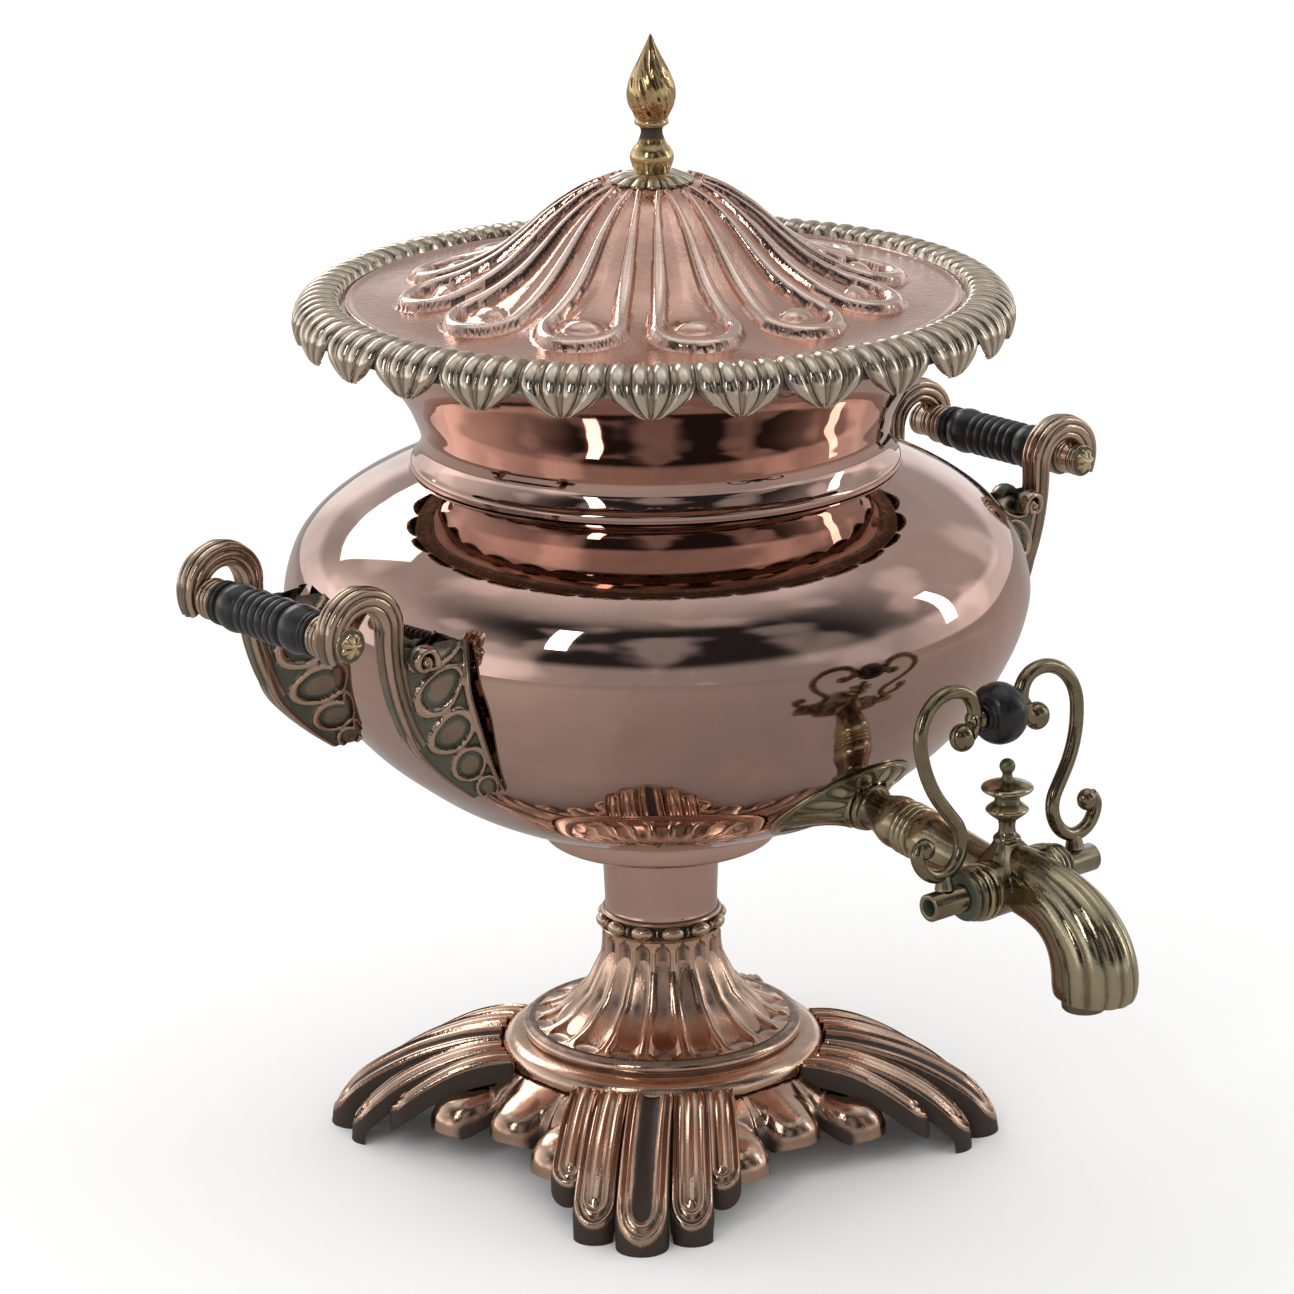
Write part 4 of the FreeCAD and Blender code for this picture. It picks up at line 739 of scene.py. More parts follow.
@dataclass
class RimBorder:
    """Cast border of scallops, each of four fat gadroons with thin reeds between."""

    finish: Finish
    scallops: int = 26
    columns: int = 56
    rows: int = 26
    fat: float = 1.0
    thin: float = 0.36
    swell: float = 1.7
    wall: float = 1.3
    overlap: float = 1.004
    start: float = -90.0

    def line(self) -> list[Pair]:
        """The border's face from its inner edge over its crest to the tip of a scallop."""
        return even(curve([(118.0, 336.3), (120.2, 338.2), (124.6, 339.2), (129.4, 338.2), (133.4, 334.8),
                           (135.2, 330.0), (134.4, 324.4), (133.2, 322.9)], 8), 60)

    def half_rounds(self, u: float) -> float:
        """How high the gadroons and reeds stand at a place across a scallop, from -1 to 1."""
        widths = [self.thin * 0.6, self.fat, self.thin, self.fat, self.thin, self.fat, self.thin, self.fat,
                  self.thin * 0.6]
        heights = [0.4, 1.0, 0.5, 0.95, 0.5, 0.95, 0.5, 1.0, 0.4]
        place = (u + 1.0) / 2.0 * sum(widths)
        for width, height in zip(widths, heights):
            if place <= width:
                return height * dome(2.0 * place / width - 1.0)
            place -= width
        return 0.0

    def spread(self, v: float) -> float:
        """A scallop's width at a place down its face, as a share of its pitch."""
        return 1.0 - 0.8 * clamp((v - 0.56) / 0.44) ** 2.2

    def build(self) -> None:
        """Builds one scallop and turns it about the urn, with a plain ring behind it."""
        line = self.line()
        half = math.pi / self.scallops

        def place(u: float, v: float) -> Vector:
            x = 2.0 * u - 1.0
            r, z = sample(line, v)
            r2, z2 = sample(line, v + 0.01)
            r1, z1 = sample(line, v - 0.01)
            length = math.hypot(r2 - r1, z2 - z1)
            out = ((z1 - z2) / length, (r2 - r1) / length)
            crown = 0.55 * dome(x) * clamp((v - 0.3) / 0.5) - 0.3
            fade = ease(v / 0.12) * mix(1.0, 0.6, ease((v - 0.6) / 0.4))
            rise = self.half_rounds(x) * self.swell * fade + crown
            angle = half * x * self.spread(v) * self.overlap
            r, z = r + out[0] * rise, z + out[1] * rise
            return Vector((r * math.cos(angle) * MM, r * math.sin(angle) * MM, z * MM))

        bm = sheet(self.columns, self.rows, place, relief=lambda u, v: self.half_rounds(2.0 * u - 1.0) * 1.05)
        thicken(faced(bm), self.wall * MM)
        repeated(bm, self.scallops, self.start)
        add_piece(bm, "rim_scallops", self.finish, Rides.URN, ["rim_border"], sharp=60, outward=False)
        back = [(118.2, 335.0), (118.2, 336.2), (121.0, 337.4), (126.0, 337.6), (131.6, 333.6), (133.0, 329.6),
                (131.8, 329.0), (129.6, 332.6), (125.6, 335.6), (121.4, 335.0)]
        bm = set_relief(lathe(back, 208, closed=True), lambda co: 0.25)
        add_piece(bm, "rim_backing", self.finish, Rides.URN)


# The lid

@dataclass
class Lid:
    """Pressed lid with twelve U-shaped lobes, a boss in each, and a petalled rosette under a turned finial."""

    finish: Finish
    rosette_finish: Finish
    finial_finish: Finish
    lobes: int = 12
    petals: int = 14
    seat: float = 335.0
    radius: float = 116.5
    wall: float = 1.2
    ridge: float = 6.4
    ridge_height: float = 3.8
    petal_wall: float = 1.1

    def dome_line(self) -> list[Pair]:
        """The dome's outer face from the rosette to the lid's edge."""
        return curve([(15.0, 380.0), (22.0, 378.4), (30.0, 374.4), (40.0, 366.9), (50.0, 357.6), (60.0, 349.9),
                      (72.0, 343.7), (85.0, 339.6), (95.0, 337.5), (104.0, 336.6), (113.8, 336.4)], 9)

    def relief(self, r: float, angle: float) -> float:
        """Height of the lobes' ridges and bosses above the dome, in millimetres."""
        pitch = 2 * math.pi / self.lobes
        local = (angle + pitch / 2) % pitch - pitch / 2
        x, y = r * math.cos(local), r * math.sin(local)
        deep = slot_depth(x, y, (19.0, 0.0), 2.6, (80.5, 0.0), 17.5)
        taper = mix(0.55, 1.0, ease((r - 24.0) / 30.0))
        width = self.ridge * mix(0.4, 1.0, ease((r - 24.0) / 40.0))
        rise = 0.0
        if 0.0 < deep < width:
            rise = self.ridge_height * taper * dome(2.0 * deep / width - 1.0) ** 0.7
        elif deep >= width:
            rise = 0.6 * taper * ease((deep - width) / 6.0)
        away = math.hypot((x - 80.0) / 4.6, y / 7.6)
        rise = max(rise, 3.2 * dome(away) if away < 1 else 0.0)
        collar = abs(away - 1.28) / 0.16
        return max(rise, 0.8 * dome(collar) if collar < 1 else 0.0)

    def build(self) -> None:
        """Builds the shell, the rosette, and the finial."""
        line = even(self.dome_line(), 110)
        outer = [(3.3, 380.0), *line, (114.8, 337.1), (115.6, 337.3), (self.radius, 336.8), (self.radius, self.seat)]
        inner = [(r, z - self.wall) for r, z in line[-8::-3]]
        bm = lathe([*outer, (100.0, self.seat), *inner, (3.3, 378.8)], 480, closed=True)
        layer = bm.verts.layers.float.new("relief")
        for vert in bm.verts:
            r, z = around(vert.co), vert.co.z / MM
            vert[layer] = 0.5
            surface = height_on(line, r)
            if 15.5 < r < 113.0 and abs(z - surface) < 0.35:
                rise = self.relief(r, math.atan2(vert.co.y, vert.co.x))
                vert.co.z += rise * MM
                vert[layer] = clamp(0.3 + rise / self.ridge_height * 0.7)
        add_piece(bm, "lid_skin", self.finish, Rides.LID, ["lid_shell"], sharp=60)
        self.rosette()
        self.finial()

    def rosette(self) -> None:
        """A ring of cupped petals that spring from the finial's foot."""
        half = math.pi / self.petals
        bm = lathe(even([(3.2, 383.6), (7.0, 383.6), (16.4, 380.5)], 22), self.petals * 16)
        layer = bm.verts.layers.float.new("relief")
        for vert in bm.verts:
            r = around(vert.co)
            angle = math.atan2(vert.co.y, vert.co.x)
            local = ((angle + half) % (2 * half) - half) / half
            share = clamp((r - 7.0) / 9.4)
            reach = mix(1.0, dome(local) * 0.22 + 0.78, ease(share))
            cup = dome(local) * 1.3 * ease(share * 1.6) - 0.5 * ease(share)
            r *= reach
            vert.co.x, vert.co.y = r * math.cos(angle) * MM, r * math.sin(angle) * MM
            vert.co.z += cup * MM
            vert[layer] = clamp(dome(local) ** 1.5)
        thicken(faced(bm), self.petal_wall * MM)
        add_piece(bm, "lid_rosette_petals", self.rosette_finish, Rides.LID, ["lid_rosette"], sharp=60, outward=False)

    def finial(self) -> None:
        """The turned baluster and its flame bud."""
        base = curve([(6.6, 383.7), (7.6, 386.4), (8.3, 389.4), (7.4, 392.4), (5.3, 395.2), (4.1, 398.6), (4.4, 400.6),
                      (5.4, 401.4)], 5)
        bud = curve([(6.3, 404.5), (7.4, 406.6), (8.8, 409.8), (9.3, 413.6), (8.6, 417.8), (6.7, 422.6), (4.2, 427.4),
                     (2.2, 431.6), (0.9, 434.7), (0.02, 436.0)], 5)
        ring = [(5.4, 401.6), (6.3, 402.0), (6.5, 402.8), (6.3, 403.8), (5.6, 404.2)]
        bud = even(bud, 60)
        bm = lathe([(3.0, 366.0), (3.0, 383.7), *base, *ring, *bud], 160)
        layer = bm.verts.layers.float.new("relief")
        for vert in bm.verts:
            r, z = around(vert.co), vert.co.z / MM
            vert[layer] = ease((r - 4.2) / 1.8)
            if z > bud[0][1] + 0.2:
                flame = self.flame(math.atan2(vert.co.y, vert.co.x), z)
                shrink = 1.0 - 0.13 * (1.0 - flame) * ease((z - bud[0][1]) / 2.0)
                vert.co.x, vert.co.y = vert.co.x * shrink, vert.co.y * shrink
                vert[layer] = flame
        add_piece(bm, "finial_turned", self.finial_finish, Rides.LID, ["lid_finial"], sharp=50)

    @staticmethod
    def flame(angle: float, z: float) -> float:
        """How high the bud's carved tongues stand: pointed leaves in rows, each row over the gaps of the last."""
        best = 0.0
        for row, (foot, tip, count) in enumerate(((403.5, 417.0, 7), (408.0, 424.0, 7), (413.5, 431.5, 5),
                                                  (420.0, 437.0, 4))):
            along = (z - foot) / (tip - foot)
            if not 0.0 <= along <= 1.0:
                continue
            half = math.pi / count
            turn = angle + half * row + 0.05 * (z - foot)
            local = abs((turn + half) % (2 * half) - half) / half
            width = math.sqrt(max(0.0, 1.0 - along)) * 0.98
            if local < width:
                vein = 0.35 * (1.0 - ease(local / 0.16))
                best = max(best, 0.35 + 0.65 * (local / max(width, 1e-6)) ** 0.5 - vein)
        return clamp(best)


# The pedestal and the foot

@dataclass
class Pedestal:
    """The fluted stem, its beaded collar and the ring of mouldings that it stands on."""

    finish: Finish
    collar_finish: Finish
    flutes: int = 18
    beads: int = 12

    def stem_line(self) -> list[Pair]:
        """The stem's outer face, from its neck down to the ring."""
        flare = [(57.2 - 34.3 * math.cos(math.radians(a)), 80.0 - 34.3 * math.sin(math.radians(a)))
                 for a in range(0, 78, 3)]
        return [(22.9, 84.0), (22.9, 82.0), *flare, (50.0, 46.5)]

    def build(self) -> None:
        """Builds the stem, the collar and the ring."""
        line = even(self.stem_line(), 64)
        bm = lathe([*line, (43.0, 46.5), (30.0, 60.0), (20.4, 80.0), (20.4, 84.0)], self.flutes * 20, closed=True)
        layer = bm.verts.layers.float.new("relief")
        half = math.pi / self.flutes
        for vert in bm.verts:
            r, z = around(vert.co), vert.co.z / MM
            vert[layer] = 0.6
            if not 46.6 < z < 83.9 or r < radius_at(line, z) - 0.4:
                continue
            angle = math.atan2(vert.co.y, vert.co.x) + math.pi / 2
            local = abs(((angle + half) % (2 * half) - half) / half)
            end = clamp((r - 45.5) / 4.4)
            width = 0.74 * dome(end) * ease((83.6 - z) / 3.0)
            share = local / max(width, 1e-3)
            depth = mix(1.3, 1.9, clamp((r - 23.0) / 20.0))
            fall = depth * dome(share) if share < 1 else 0.0
            lip = 0.35 * dome((share - 1.14) / 0.16) if abs(share - 1.14) < 0.16 and end < 1 else 0.0
            out = Vector((math.cos(angle - math.pi / 2), math.sin(angle - math.pi / 2), 0.0))
            slope = clamp((r - 23.0) / 26.0)
            normal = (out * (1.0 - slope) + Z_AXIS * slope).normalized()
            vert.co += normal * (lip - fall) * MM
            vert[layer] = clamp(0.75 + lip - 0.62 * fall / depth)
        add_piece(bm, "stem_fluted", self.finish, Rides.URN, ["pedestal_stem"], sharp=60)
        self.collar()
        self.ring()

    def collar(self) -> None:
        """The row of long beads with reels between, under a thin lip."""
        core = curve([(23.1, 84.0), (24.0, 84.9), (22.4, 86.0), (21.7, 87.8), (22.2, 89.8), (23.4, 90.8)], 4)
        rings = lathe([*core, (23.6, 91.4), (23.2, 92.1), (22.2, 92.6), (20.4, 92.6), (20.4, 84.0)], 144, closed=True)
        set_relief(rings, lambda co: ease((around(co) - 22.2) / 1.3))
        bead = ball(Vector((22.7 * MM, 0, 87.9 * MM)), (3.1 * MM, 4.6 * MM, 2.8 * MM), 20)
        reel = ball(Vector((22.4 * MM, 0, 87.9 * MM)), (2.1 * MM, 0.75 * MM, 2.0 * MM), 10)
        moved(reel, Matrix.Rotation(math.pi / self.beads, 4, "Z"))
        row = repeated(joined([bead, reel]), self.beads, -90.0)
        set_relief(row, lambda co: ease((around(co) - 22.6) / 2.4))
        add_piece(joined([rings, row]), "collar_beads", self.collar_finish, Rides.URN, ["bead_collar"])

    def ring(self) -> None:
        """The broad half round, the step and the small bead."""
        line = curve([(58.6, 31.0), (61.6, 32.2), (63.0, 35.4), (62.0, 38.8), (59.6, 40.8), (56.4, 41.6)], 5)
        small = curve([(53.4, 41.7), (54.4, 42.8), (54.8, 44.2), (54.0, 45.8), (52.2, 46.6)], 4)
        bm = lathe([*line, (53.6, 41.6), *small, (51.0, 46.2), (44.0, 46.5), (44.0, 31.0)], 256, closed=True)
        set_relief(bm, lambda co: 0.75 if around(co) > 54.2 else 0.2)
        add_piece(bm, "ring_turned", self.finish, Rides.URN, ["foot_ring"])


@dataclass(frozen=True)
class Lobe:
    """One finger of a leaf: a tapered slot in plan under its own arched line, with folds along its sides."""

    start: Pair
    start_half: float
    end: Pair
    radius: float
    arch: tuple[Pair, ...]
    folds: tuple[Pair, ...]
    columns: int = 29
    rows: int = 70
    wall: float = 3.2

    @property
    def length(self) -> float:
        """How long the straight part is."""
        return math.dist(self.start, self.end)

    def half(self, s: float) -> float:
        """The full half width at a distance along it."""
        return mix(self.start_half, self.radius, clamp(s / self.length))

    def point(self, u: float, v: float) -> tuple[Vector, float]:
        """The point at u across it and v along it, in millimetres, and its relief."""
        total = self.length + self.radius
        s = total * (1.0 - (1.0 - v) ** 1.7)
        past = max(0.0, (s - self.length) / self.radius)
        half = self.half(s) * math.sqrt(max(0.0, 1.0 - past ** 2))
        along = Vector((self.end[0] - self.start[0], self.end[1] - self.start[1])) / self.length
        side = Vector((-along.y, along.x))
        t = math.sin((u - 0.5) * math.pi)
        plan = Vector(self.start) + along * s + side * (half * t)
        away = math.hypot(half * t / self.half(s), past)
        rise = height_at(self.folds, clamp(away))
        open_out = ease(s / 14.0)
        z = height_at(self.arch, plan.x * 0.75 + plan.length * 0.25) + rise * mix(0.6, 1.0, open_out)
        return Vector((plan.x, plan.y, max(z, 0.6))), clamp(0.28 + rise * 0.5)

    def build(self) -> bmesh.types.BMesh:
        """The finger's casting, with its underside; the longest one stands on the table."""
        bm = sheet(self.columns, self.rows, lambda u, v: self.point(u, v)[0] * MM,
                   relief=lambda u, v: self.point(u, v)[1])
        Foot.skirted(faced(bm), self.wall)
        bmesh.ops.remove_doubles(bm, verts=bm.verts, dist=2e-6)
        return bm


@dataclass(frozen=True)
class Foot:
    """Four leaves of five lobes each, that arch down to the table, and plain cups between them."""

    finish: Finish
    leaves: int = 4
    root: float = 57.0
    cups: tuple[tuple[float, float, float], ...] = ((72.5, 0.0, 12.5), (82.5, -21.5, 13.0), (82.5, 21.5, 13.0))
    cup_arch: tuple[Pair, ...] = ((56.0, 35.0), (63.0, 33.2), (70.0, 28.0), (77.0, 23.6), (86.0, 20.8),
                                  (96.0, 16.8))

    def lobes(self) -> list[Lobe]:
        """The fingers of one leaf along +X."""
        long = ((52.0, 38.2), (66.0, 37.6), (77.0, 36.2), (88.0, 33.4), (97.0, 30.4), (106.0, 26.2), (115.0, 21.0),
                (122.0, 15.8), (128.0, 9.0), (132.5, 3.2))
        short = ((52.0, 38.0), (66.0, 37.4), (77.0, 35.4), (88.0, 31.6), (97.0, 27.4), (106.0, 21.8), (114.0, 15.0),
                 (120.0, 8.6), (124.0, 4.0))
        least = ((52.0, 37.6), (66.0, 36.8), (77.0, 34.2), (88.0, 29.2), (97.0, 23.6), (105.0, 17.6), (110.0, 13.4))
        channel = ((0.0, -1.5), (0.26, -1.1), (0.42, 0.1), (0.54, 1.1), (0.63, 0.9), (0.7, -0.2), (0.76, 0.1),
                   (0.84, 1.5), (0.91, 1.2), (0.965, -1.6), (1.0, -5.2))
        ridged = ((0.0, 1.5), (0.16, 1.3), (0.3, -0.1), (0.36, -0.1), (0.5, 1.2), (0.6, 0.9), (0.68, -0.5),
                  (0.74, -0.2), (0.84, 1.2), (0.91, 0.8), (0.965, -1.8), (1.0, -5.0))
        found = [Lobe((53.0, 0.0), 8.8, (122.0, 0.0), 10.0, long, channel)]
        for side in (-1, 1):
            found.append(Lobe((53.0, side * 14.6), 7.0, (113.4, side * 18.2), 8.4, short, ridged))
            found.append(Lobe((53.0, side * 24.6), 6.2, (98.0, side * 28.6), 7.4, least, ridged))
        return found

    def build(self) -> None:
        """Builds a leaf and a row of cups, and turns each about the axis."""
        leaf = joined([lobe.build() for lobe in self.lobes()] + [self.bed()])
        add_piece(repeated(leaf, self.leaves, 45.0), "foot_leaves", self.finish, Rides.URN, ["foot_plate"],
                  sharp=75, outward=False)
        crown = set_relief(lathe([(40.0, 28.0), (62.9, 28.0), (62.9, 31.0), (40.0, 31.0)], 128, closed=True),
                           lambda co: 0.3)
        add_piece(joined([repeated(self.web(), self.leaves, 0.0), crown]), "foot_cups", self.finish, Rides.URN, [],
                  sharp=75, outward=False)

    def bed(self) -> bmesh.types.BMesh:
        """The floor of the casting between a leaf's fingers."""
        spread = math.radians(21.0)
        arch = self.lobes()[1].arch

        def place(u: float, v: float) -> Vector:
            angle = mix(-spread, spread, u)
            r = mix(self.root, mix(110.0, 90.0, abs(2.0 * u - 1.0) ** 1.6), v)
            return Vector((r * math.cos(angle), r * math.sin(angle), height_at(arch, r) - 3.4)) * MM

        bm = sheet(48, 24, place, relief=lambda u, v: 0.0)
        return self.skirted(faced(bm), 2.4)

    def web(self) -> bmesh.types.BMesh:
        """The three bulging cups on one side, between two leaves."""

        def depth(x: float, y: float) -> float:
            best = 75.0 - math.hypot(x, y)
            for out, angle, radius in self.cups:
                a = math.radians(angle)
                best = max(best, radius - math.hypot(x - out * math.cos(a), y - out * math.sin(a)))
            return best

        def bulge(x: float, y: float) -> float:
            best = 0.0
            for out, angle, radius in self.cups:
                a = math.radians(angle)
                along, aside = x * math.cos(a) + y * math.sin(a), y * math.cos(a) - x * math.sin(a)
                best = max(best, dome(aside / (radius * 0.92)) * ease((along - 58.0) / (out - 54.0)))
            return best

        spread = math.radians(33.0)
        far: dict[float, float] = {}

        def plan(u: float, v: float) -> tuple[float, float, float, float]:
            angle = mix(-spread, spread, u)
            if u not in far:
                far[u] = self.reach(angle, depth, 98.0)
            edge = far[u]
            r = mix(self.root, edge, 1.0 - (1.0 - v) ** 1.5)
            x, y = r * math.cos(angle), r * math.sin(angle)
            return x, y, r, max(0.0, depth(x, y))

        def place(u: float, v: float) -> Vector:
            x, y, r, deep = plan(u, v)
            roll = 1.0 - math.sqrt(max(0.0, 1.0 - (1.0 - clamp(deep / 6.5)) ** 2))
            z = height_at(self.cup_arch, r) + 4.4 * bulge(x, y) - 6.6 * roll * ease((r - 64.0) / 8.0)
            return Vector((x, y, z)) * MM

        def relief(u: float, v: float) -> float:
            x, y, _, deep = plan(u, v)
            return 0.36 + 0.5 * bulge(x, y) - 0.36 * (1.0 - clamp(deep / 2.0))

        bm = sheet(150, 40, place, relief=relief)
        return self.skirted(faced(bm), 2.8)

    def reach(self, angle: float, inside: Callable[[float, float], float], far: float) -> float:
        """How far out the plan goes along a ray from the axis."""
        r = far
        while r > self.root and inside(r * math.cos(angle), r * math.sin(angle)) < 0:
            r -= 0.5
        high = min(far, r + 0.5)
        for _ in range(6):
            middle = (r + high) / 2
            if inside(middle * math.cos(angle), middle * math.sin(angle)) < 0:
                high = middle
            else:
                r = middle
        return r

    @staticmethod
    def skirted(bm: bmesh.types.BMesh, wall: float) -> bmesh.types.BMesh:
        """Gives the casting its thickness straight down, stopping at the table and under the ring."""
        ring_radius, ring_bottom = 63.2 * MM, 30.9 * MM
        toe_radius, toe_top = 118.5, 20.0 * MM
        before = list(bm.verts)
        bmesh.ops.extrude_face_region(bm, geom=bm.faces[:])
        for vert in bm.verts:
            if math.hypot(vert.co.x, vert.co.y) < ring_radius:
                vert.co.z = min(vert.co.z, ring_bottom)
        for vert in before:
            on_table = around(vert.co) > toe_radius and vert.co.z < toe_top
            vert.co.z = 0.0 if on_table else max(vert.co.z - wall * MM, 0.0)
        bmesh.ops.recalc_face_normals(bm, faces=bm.faces)
        return bm


# The handles

def axis_frame(origin: Vector, axis: Vector) -> Matrix:
    """The placement that takes the Z axis to an axis through a point, both in metres."""
    turn = Z_AXIS.rotation_difference(axis).to_matrix().to_4x4()
    return Matrix.Translation(origin) @ turn


def half_rounds(start: float, width: float, count: int, root: float, crown: float, step: float = 0.0,
                smooth: int = 8) -> list[Pair]:
    """An outline of (radius, distance) with half-round rings one after another.

    Args:
        start: Where the first ring begins.
        width: How wide each ring is.
        count: How many rings there are.
        root: The radius between the rings.
        crown: How far each ring stands above its root.
        step: How much smaller each ring is than the one before.
        smooth: How many pieces each ring's outline has.

    Returns:
        The outline, from the first ring's start to the last ring's end.
    """
    line = []
    for ring in range(count):
        for i in range(smooth + 1):
            t = i / smooth
            line.append((root - step * ring + crown * dome(2.0 * t - 1.0), start + (ring + t) * width))
    return line


@dataclass
class Handle:
    """One side handle: two reeded scrolls with leaf feet, and an ebony grip between them."""

    side: Side
    bracket_finish: Finish
    grip_finish: Finish
    shell_finish: Finish
    body_line: list[Pair]
    plane: float = 41.5
    arch: tuple[float, float, float] = (176.5, 247.3, 13.2)
    arch_turn: float = 210.0
    stem: Pair = (80.0, 34.0)
    grip_axis: Pair = (184.5, 246.5)
    half_width: float = 5.0
    half_depth: float = 5.2
    boss_half: float = 5.6
    ferrule: float = 7.0
    touch: Pair = (150.0, 262.0)
    cells: int = 4
    radii: dict[int, float] = field(default_factory=dict)

    def build(self) -> None:
        """Builds both brackets, the grip, its ferrules and its rod."""
        label = self.side.name.lower()
        for end, place in ((-1, "front"), (1, "rear")):
            bm = joined([self.scroll(), self.boss(), self.leaf(), self.curl(-1.0), self.curl(1.0)])
            if end > 0:
                self.flip(bm, 1)
            bmesh.ops.translate(bm, vec=(0.0, end * self.plane * MM, 0.0), verts=bm.verts)
            self.seat(bm)
            if self.side is Side.LEFT:
                self.flip(bm, 0)
            add_piece(bm, f"scroll_{label}_{place}", self.bracket_finish, Rides.URN,
                      [f"bracket_{label}_{place}"], sharp=55, outward=False)
        self.turned(self.grip_line(), f"grip_turned_{label}", self.grip_finish, f"grip_{label}")
        self.ferrules(label)
        self.rod(label)

    def flip(self, bm: bmesh.types.BMesh, axis: int) -> None:
        """Mirrors a mesh across the plane through the origin square to an axis."""
        for vert in bm.verts:
            vert.co[axis] = -vert.co[axis]
        bmesh.ops.reverse_faces(bm, faces=bm.faces)

    def section(self) -> list[Pair]:
        """A rounded square of eight reeds."""
        count, squareness, groove_depth = 96, 3.2, 0.17
        points = []
        for i in range(count):
            angle = 2 * math.pi * i / count
            c, s = math.cos(angle), math.sin(angle)
            power = (abs(c) ** squareness + abs(s) ** squareness) ** (-1 / squareness)
            groove = 1.0 - groove_depth * (1.0 - abs(math.sin(angle * 4.0 + math.pi / 2)) ** 0.6)
            points.append((self.half_width * c * power * groove * MM, self.half_depth * s * power * groove * MM))
        return points

    def scroll(self) -> bmesh.types.BMesh:
        """The reeded stem that rises from the leaf and rolls over to the grip."""
        heading = 92.0 - self.stem[1]
        low, high = math.radians(heading), math.radians(92.0)
        start = (self.arch[0] - self.arch[2] - self.stem[0] * (math.sin(high) - math.sin(low)),
                 self.arch[1] - self.stem[0] * (math.cos(low) - math.cos(high)))
        path = bend_path(start, heading, [self.stem, (self.arch[2], -self.arch_turn)], 4.0)
        points = [Vector((x * MM, 0.0, z * MM)) for x, z in path]
        frames = path_frames(points, -Y_AXIS,
                             lambda t: 0.86 + 0.14 * ease(t / 0.25) - 0.12 * ease((t - 0.72) / 0.28))
        bm = sweep(self.section(), frames)
        layer = bm.verts.layers.float.new("relief")
        for vert in bm.verts:
            flat = Vector((vert.co.x, 0.0, vert.co.z))
            near = min(points, key=lambda point: (point - flat).length_squared)
            vert[layer] = clamp(((vert.co - near).length / MM - 4.1) / 1.1)
        bmesh.ops.recalc_face_normals(bm, faces=bm.faces)
        return bm

    def boss(self) -> bmesh.types.BMesh:
        """The eye of the scroll: rings, and a little ribbed shell on its outer face."""
        x, z = self.grip_axis
        line = [(0.3, -self.boss_half), (5.4, -self.boss_half),
                *half_rounds(-self.boss_half, 2.0, 2, 5.6, 0.9), (6.3, -1.4), (6.3, 1.4),
                *half_rounds(self.boss_half - 4.0, 2.0, 2, 5.6, 0.9), (5.4, self.boss_half), (0.3, self.boss_half)]
        bm = lathe(line, 64, closed=True)
        ringed(bm, 5.6, 0.8)
        bmesh.ops.recalc_face_normals(bm, faces=bm.faces)
        return moved(bm, axis_frame(Vector((x, 0.0, z)) * MM, Y_AXIS))

    def reach(self, z: float) -> float:
        """The body's radius at a height, worked out once for each tenth of a millimetre."""
        key = round(z * 10)
        if key not in self.radii:
            self.radii[key] = radius_at(self.body_line, key / 10)
        return self.radii[key]

    def leaf(self) -> bmesh.types.BMesh:
        """The cupped leaf foot, with a row of oval cells on each flank and a rolled top."""
        levels = curve([(239.0, 163.2, 3.0, 9.0, 6.0), (232.0, 162.6, 3.6, 15.0, 9.5),
                        (223.0, 161.6, 4.2, 20.0, 12.0), (210.0, 158.6, 4.6, 24.0, 13.5),
                        (200.0, 154.2, 4.4, 22.0, 12.0), (190.0, 145.0, 3.6, 15.0, 8.5),
                        (182.0, 135.5, 2.6, 8.0, 5.0), (175.5, 126.6, 1.4, 2.5, 2.0)], 6)

        def shape(u: float, v: float) -> tuple[Vector, float]:
            z, rib_x, rib, inner, outer = sample(levels, v)
            across = 2.0 * u - 1.0
            wide = inner if across > 0 else outer
            share = abs(across)
            body_x = math.sqrt(max(self.reach(clamp(z, *self.touch)) ** 2 - self.plane ** 2, 1.0)) - 1.0
            if share < 0.3:
                t = share / 0.3
                reed = 0.55 * abs(math.sin(math.pi * t * 1.5)) ** 0.6
                x, y, relief = rib_x + reed - 0.7 * t * t, rib * t, 0.35 + reed
            else:
                t = (share - 0.3) / 0.7
                drop = t ** 0.72
                x = mix(rib_x - 0.7, body_x, drop)
                y = mix(rib, wide, t ** 1.25)
                cell, relief = self.cell(t, v)
                x, y = x + cell * 0.9, y + cell * 1.2
            return Vector((x * MM, math.copysign(y, across) * MM, z * MM)), relief

        bm = sheet(100, 110, lambda u, v: shape(u, 1.0 - v)[0], relief=lambda u, v: shape(u, 1.0 - v)[1])
        return faced(bm, X_AXIS)

    def curl(self, across: float) -> bmesh.types.BMesh:
        """The little rolled volute at the top of one flank of the leaf."""
        centre = Vector((153.5, across * 7.0, 234.5))
        points = []
        for i in range(26):
            turn, radius = math.radians(200.0 - 20.0 * i), mix(5.4, 1.0, i / 25.0)
            points.append((centre + Vector((radius * math.cos(turn), 0.0, radius * math.sin(turn)))) * MM)
        frames = path_frames(points, Vector((0.0, across, 0.0)), lambda t: mix(1.15, 0.7, t))
        flat = [(a * 0.8, b * 1.7) for a, b in round_section(1.9 * MM, 16)]
        bm = joined([sweep(flat, frames), ball(centre * MM, (1.9 * MM, 3.6 * MM, 1.9 * MM), 20)])
        set_relief(bm, lambda co: clamp((abs(co.y) / MM - 6.0) / 4.0))
        bmesh.ops.recalc_face_normals(bm, faces=bm.faces)
        return bm

